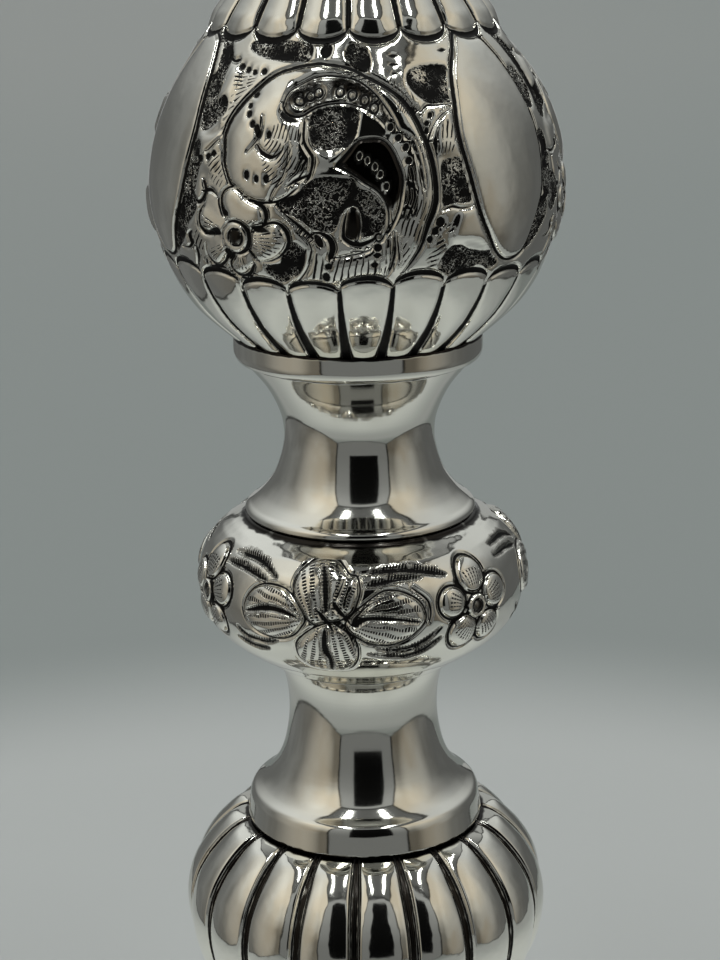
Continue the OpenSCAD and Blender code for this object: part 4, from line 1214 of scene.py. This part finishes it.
neck_z = top_of("neck_ring")
SOCKET_R = 6.08
turned("silver_neck", "stick", smooth([
    (9.2, 0), (8, 2.5), (7.5, 6), (8, 11), (9.4, 17), (9.8, 21), (9.1, 25), (9.4, 29), (11.2, 32.4), (13.4, 34)
], 8) + (0, neck_z), "neck", inner=SOCKET_R)


# ---- Drip pan, boss and tube ----
# The pan is raised as a shallow dish and drawn out into petals with a rib between each and the next. A
# turned boss under it sits on the neck, and a tube through both drops into the neck's socket.

PAN_LOBES = 8
PAN_FIRST = -22.0
PAN_R = 34.0
pan_z = top_of("neck")
pan_bearings, from_rib = lobe_columns(PAN_LOBES, PAN_FIRST, 40)
pan_under = smooth([(12.5, 1.2), (17, 1.6), (23, 3.6), (29, 7.6), (PAN_R, 9.6)], 10)
pan_over = (pan_under + (-0.3, 1.2))[::-1]
rim_turns = np.radians(np.linspace(-60, 60, 5))[1:-1]
pan_rim = np.column_stack([PAN_R - 0.2 + 0.55 * np.cos(rim_turns), 10.2 + 0.55 * np.sin(rim_turns)])
pan_loop = np.vstack([[(6.0, 1.2)], pan_under, pan_rim, pan_over, [(6.0, 2.4)]])


def petals(r, z):
    """Radius and height drawn out to petals: r grows over each petal's middle, and z rises at the ribs."""
    out = ramp((r - 18) / (PAN_R - 18))
    arc = np.sin(math.pi * from_rib)
    rib = 1.1 * ramp((r - 14) / 12) * (1 - arc)
    return r + 2.4 * out * (arc * 1.6 - 1), z + rib


pan_r, pan_h = petals(pan_loop[:, :1] + 0 * from_rib, pan_loop[:, 1:] + 0 * from_rib)
pan_t = np.radians(pan_bearings)[None, :]
pan_grid = np.stack([pan_r * np.sin(pan_t), -pan_r * np.cos(pan_t), pan_h + pan_z], -1)
dress(surface("silver_pan", pan_grid), "nozzle", plain_silver, "drip_pan")

turned("silver_boss", "nozzle", np.array([(9, 0.02), (13, 0.02), (13.6, 0.5), (12.9, 1.2), (9, 1.2)]) + (0, pan_z),
       "pan_boss", inner=6.0)

turned("silver_tube", "nozzle", np.array([(6.0, -15), (6.0, 2.4)]) + (0, pan_z), "spigot_tube", inner=5.0)


# ---- Candle cup and its beading ----
# Vase-shaped spun cup soldered on the pan, bored for the candle, with fine beads round its lip.

cup_z = pan_z + 2.4
cup_top = top_of("candle_cup")
BORE_R = 11.2
BORE_DEPTH = 24.0
lip_z = cup_top - cup_z
cup_outer = soften(np.vstack([
    smooth([
        (10.6, 0), (12.2, 1.6), (13.3, 4.5), (13.8, 9), (13.3, 15.5), (13, 20.5), (14.1, 23.8), (16.2, lip_z - 1)
    ], 8),
    [(16, lip_z - 0.2), (15, lip_z), (BORE_R + 0.3, lip_z), (BORE_R, lip_z - 0.4), (BORE_R, lip_z - BORE_DEPTH),
     (0.02, lip_z - BORE_DEPTH)],
]), 0.8, 0.3) + (0, cup_z)
cup_loop = np.vstack([cup_outer, [(0.02, cup_z)]])
dress(surface("silver_cup", swept(cup_loop, all_round(256))), "nozzle", plain_silver, "candle_cup")

beads("silver_lip_beads", "nozzle", 48, 17.1, cup_top - 1, 0.9, "cup_beading")


# ---- Floor, light and camera ----
# A pale floor that darkens with distance, the soft light of a tent of white cloth, and the photograph's view.

# Inside of the tent, measured from the stem at mid height: side walls, front and back walls and ceiling.
WALL_LEFT = 0.25
WALL_RIGHT = 0.32
WALL_FRONT = 0.36
WALL_BACK = 0.90
CEILING = 0.56


def floor_paint(shade):
    """Painted light falloff: pale near the object and darker with distance, less so towards +X. What the silver
    mirrors of it is painted paler close to the object and darker further out, a painted shadow, and ends in a
    thin dark seam at the walls, and beyond that is the tent."""
    place = shade.add("ShaderNodeTexCoord", output=3)
    x, y, _ = place.parts()
    distance = shade.add("ShaderNodeVectorMath", {"operation": "LENGTH"}, {0: place}, output=1)
    # Painted light falloff: the floor is pale near the object and darkens with distance.
    far = distance.within(0.45, 3.0) - x.within(-0.2, 0.8) * 0.6
    behind = far.colours((0.286, 0.313, 0.312, 1), (0.328, 0.344, 0.342, 1))
    tone = distance.within(0.29, 0.41).colours((0.50, 0.52, 0.522, 1), behind)
    past_wall = (x * -1.0 - WALL_LEFT).largest(x - WALL_RIGHT, y * -1.0 - WALL_FRONT, y - WALL_BACK)
    mirrored = shade.add("ShaderNodeLightPath", output=3)
    # Painted light: where the silver mirrors it, the floor close to the object is paler.
    tone = (distance.within(0.24, 0.12) * mirrored).colours(tone, (0.60, 0.62, 0.61, 1))
    seam = past_wall.within(-0.018, -0.009) * y.within(0.55, 0.35)
    # Painted shadow on the mirrored floor further from the object, together with the dark seam.
    shadow = seam.largest(distance.within(0.12, 0.28) * 0.33) * mirrored
    return {
        "Base Color": shadow.colours(tone, (0.02, 0.02, 0.02, 1)),
        "Roughness": 0.9,
        "Alpha": 1 - past_wall.within(-0.001, 0.0) * mirrored,
    }


FLOOR_HALF = 20.0
floor_mesh = bpy.data.meshes.new("floor")
corners = [(x * FLOOR_HALF, y * FLOOR_HALF, 0) for x, y in ((-1, -1), (1, -1), (1, 1), (-1, 1))]
floor_mesh.from_pydata(corners, [], [(0, 1, 2, 3)])
floor_mesh.materials.append(finish_of("floor_paper", floor_paint))
floor = bpy.data.objects.new("floor", floor_mesh)
bpy.context.scene.collection.objects.link(floor)


def tent(shade):
    """Light of a box tent by direction. A direction meets the wall that is nearest along it: the one with the
    smallest of three reaches, each a wall's distance over the direction's share along its axis. Where the two
    smallest are nearly equal two walls meet, in a thin dark seam. The walls brighten upwards, the front one has
    a dark opening for the camera, and two bright strips lie under the ceiling."""
    way = shade.add("ShaderNodeTexCoord", output=0)
    x, y, z = way.parts()

    def reach(part, low, high):
        distance = part.maths("SIGN") * ((high - low) / 2) + (high + low) / 2
        return distance.maths("DIVIDE", part.maths("ABSOLUTE") + 0.0001)

    to_side = reach(x, WALL_LEFT, WALL_RIGHT)
    to_front = reach(y, WALL_FRONT, WALL_BACK)
    to_top = reach(z, 40.0, CEILING)
    wall = to_side.maths("MINIMUM", to_front)
    nearest_wall = wall.maths("MINIMUM", to_top)
    second = to_side.largest(to_front).maths("MINIMUM", to_top).largest(wall)
    gap = second.maths("DIVIDE", nearest_wall) - 1
    seam = gap.within(0.055, 0.03)
    hx = x * nearest_wall
    hy = y * nearest_wall
    hz = z * nearest_wall
    overhead = to_top.maths("LESS_THAN", wall)
    sideways = to_side.maths("LESS_THAN", to_front) * (1 - overhead)
    ahead = (1 - sideways) * (1 - overhead)
    smudge = shade.add("ShaderNodeTexNoise", None, {"Vector": way, "Scale": 1.7, "Detail": 3.0, "Roughness": 0.5})
    uneven = smudge.within(0.35, 0.7)
    on_side = hz.within(0.02, 0.36) * 0.52 + 0.115 + uneven * 0.05
    lamp = (hy + 0.115) * (hy + 0.115) + (hz - 0.08) * (hz - 0.08) * 0.3
    on_side = (on_side + lamp.within(0.03, 0.0) * 0.2) * (1 - x.within(-0.01, 0.01) * 0.2)
    before = hy.within(0.01, -0.01)
    opening = hx.within(-0.097, -0.093) * hx.within(0.182, 0.178)
    opening = opening * hz.within(-0.050, -0.046) * hz.within(0.465, 0.460)
    on_front = (hz.within(-0.05, 0.5) * 0.16 + 0.145) * (1 - opening * 0.985) * before + (1 - before) * 0.34
    strips = 0
    for centre in (-0.125, 0.155):
        strips = (hx - centre).maths("ABSOLUTE").within(0.026, 0.022) + strips
    strips = strips * hy.within(-0.31, -0.29) * hy.within(0.31, 0.29)
    on_top = strips * 11.0 + 0.10 + hy.within(-0.1, 0.8) * 0.25
    glow = on_side * sideways + on_front * ahead + on_top * overhead
    glow = glow * (1 - seam * 0.9)
    warm = uneven.colours((1.0, 0.90, 0.72, 1), (1.0, 0.97, 0.86, 1))
    tint = (sideways * hy.within(0.2, -0.2)).colours((0.97, 1.0, 0.985, 1), warm)
    seen = shade.add("ShaderNodeLightPath", output=0)
    return seen.colours(tint, (0.97, 1.0, 0.99, 1)), glow * (1 - seen) + seen * 0.28


world = bpy.data.worlds.new("tent")
bpy.context.scene.world = world
world.use_nodes = True
world.node_tree.nodes.clear()
shade = Shade(world.node_tree)
colour, strength = tent(shade)
light = shade.add("ShaderNodeBackground", None, {"Color": colour, "Strength": strength})
shade.add("ShaderNodeOutputWorld", None, {"Surface": light})
bpy.context.scene.view_settings.view_transform = "Standard"

LOOK_AT_Z = 182.0 * MM
REACH = 369.0 * MM
PITCH = math.radians(16.8)
ROLL = math.radians(-0.82)
FOCAL_PIXELS = 2100.0
PHOTO_HEIGHT = 960.0
camera = bpy.data.objects.new("camera", bpy.data.cameras.new("camera"))
bpy.context.scene.collection.objects.link(camera)
camera.data.sensor_width = 36.0
camera.data.lens = FOCAL_PIXELS / PHOTO_HEIGHT * camera.data.sensor_width
camera.data.clip_start = 0.01
camera.matrix_world = (
    Matrix.Translation((0, -REACH * math.cos(PITCH), LOOK_AT_Z + REACH * math.sin(PITCH)))
    @ Matrix.Rotation(math.pi / 2 - PITCH, 4, "X")
    @ Matrix.Rotation(ROLL, 4, "Z")
)
bpy.context.scene.camera = camera
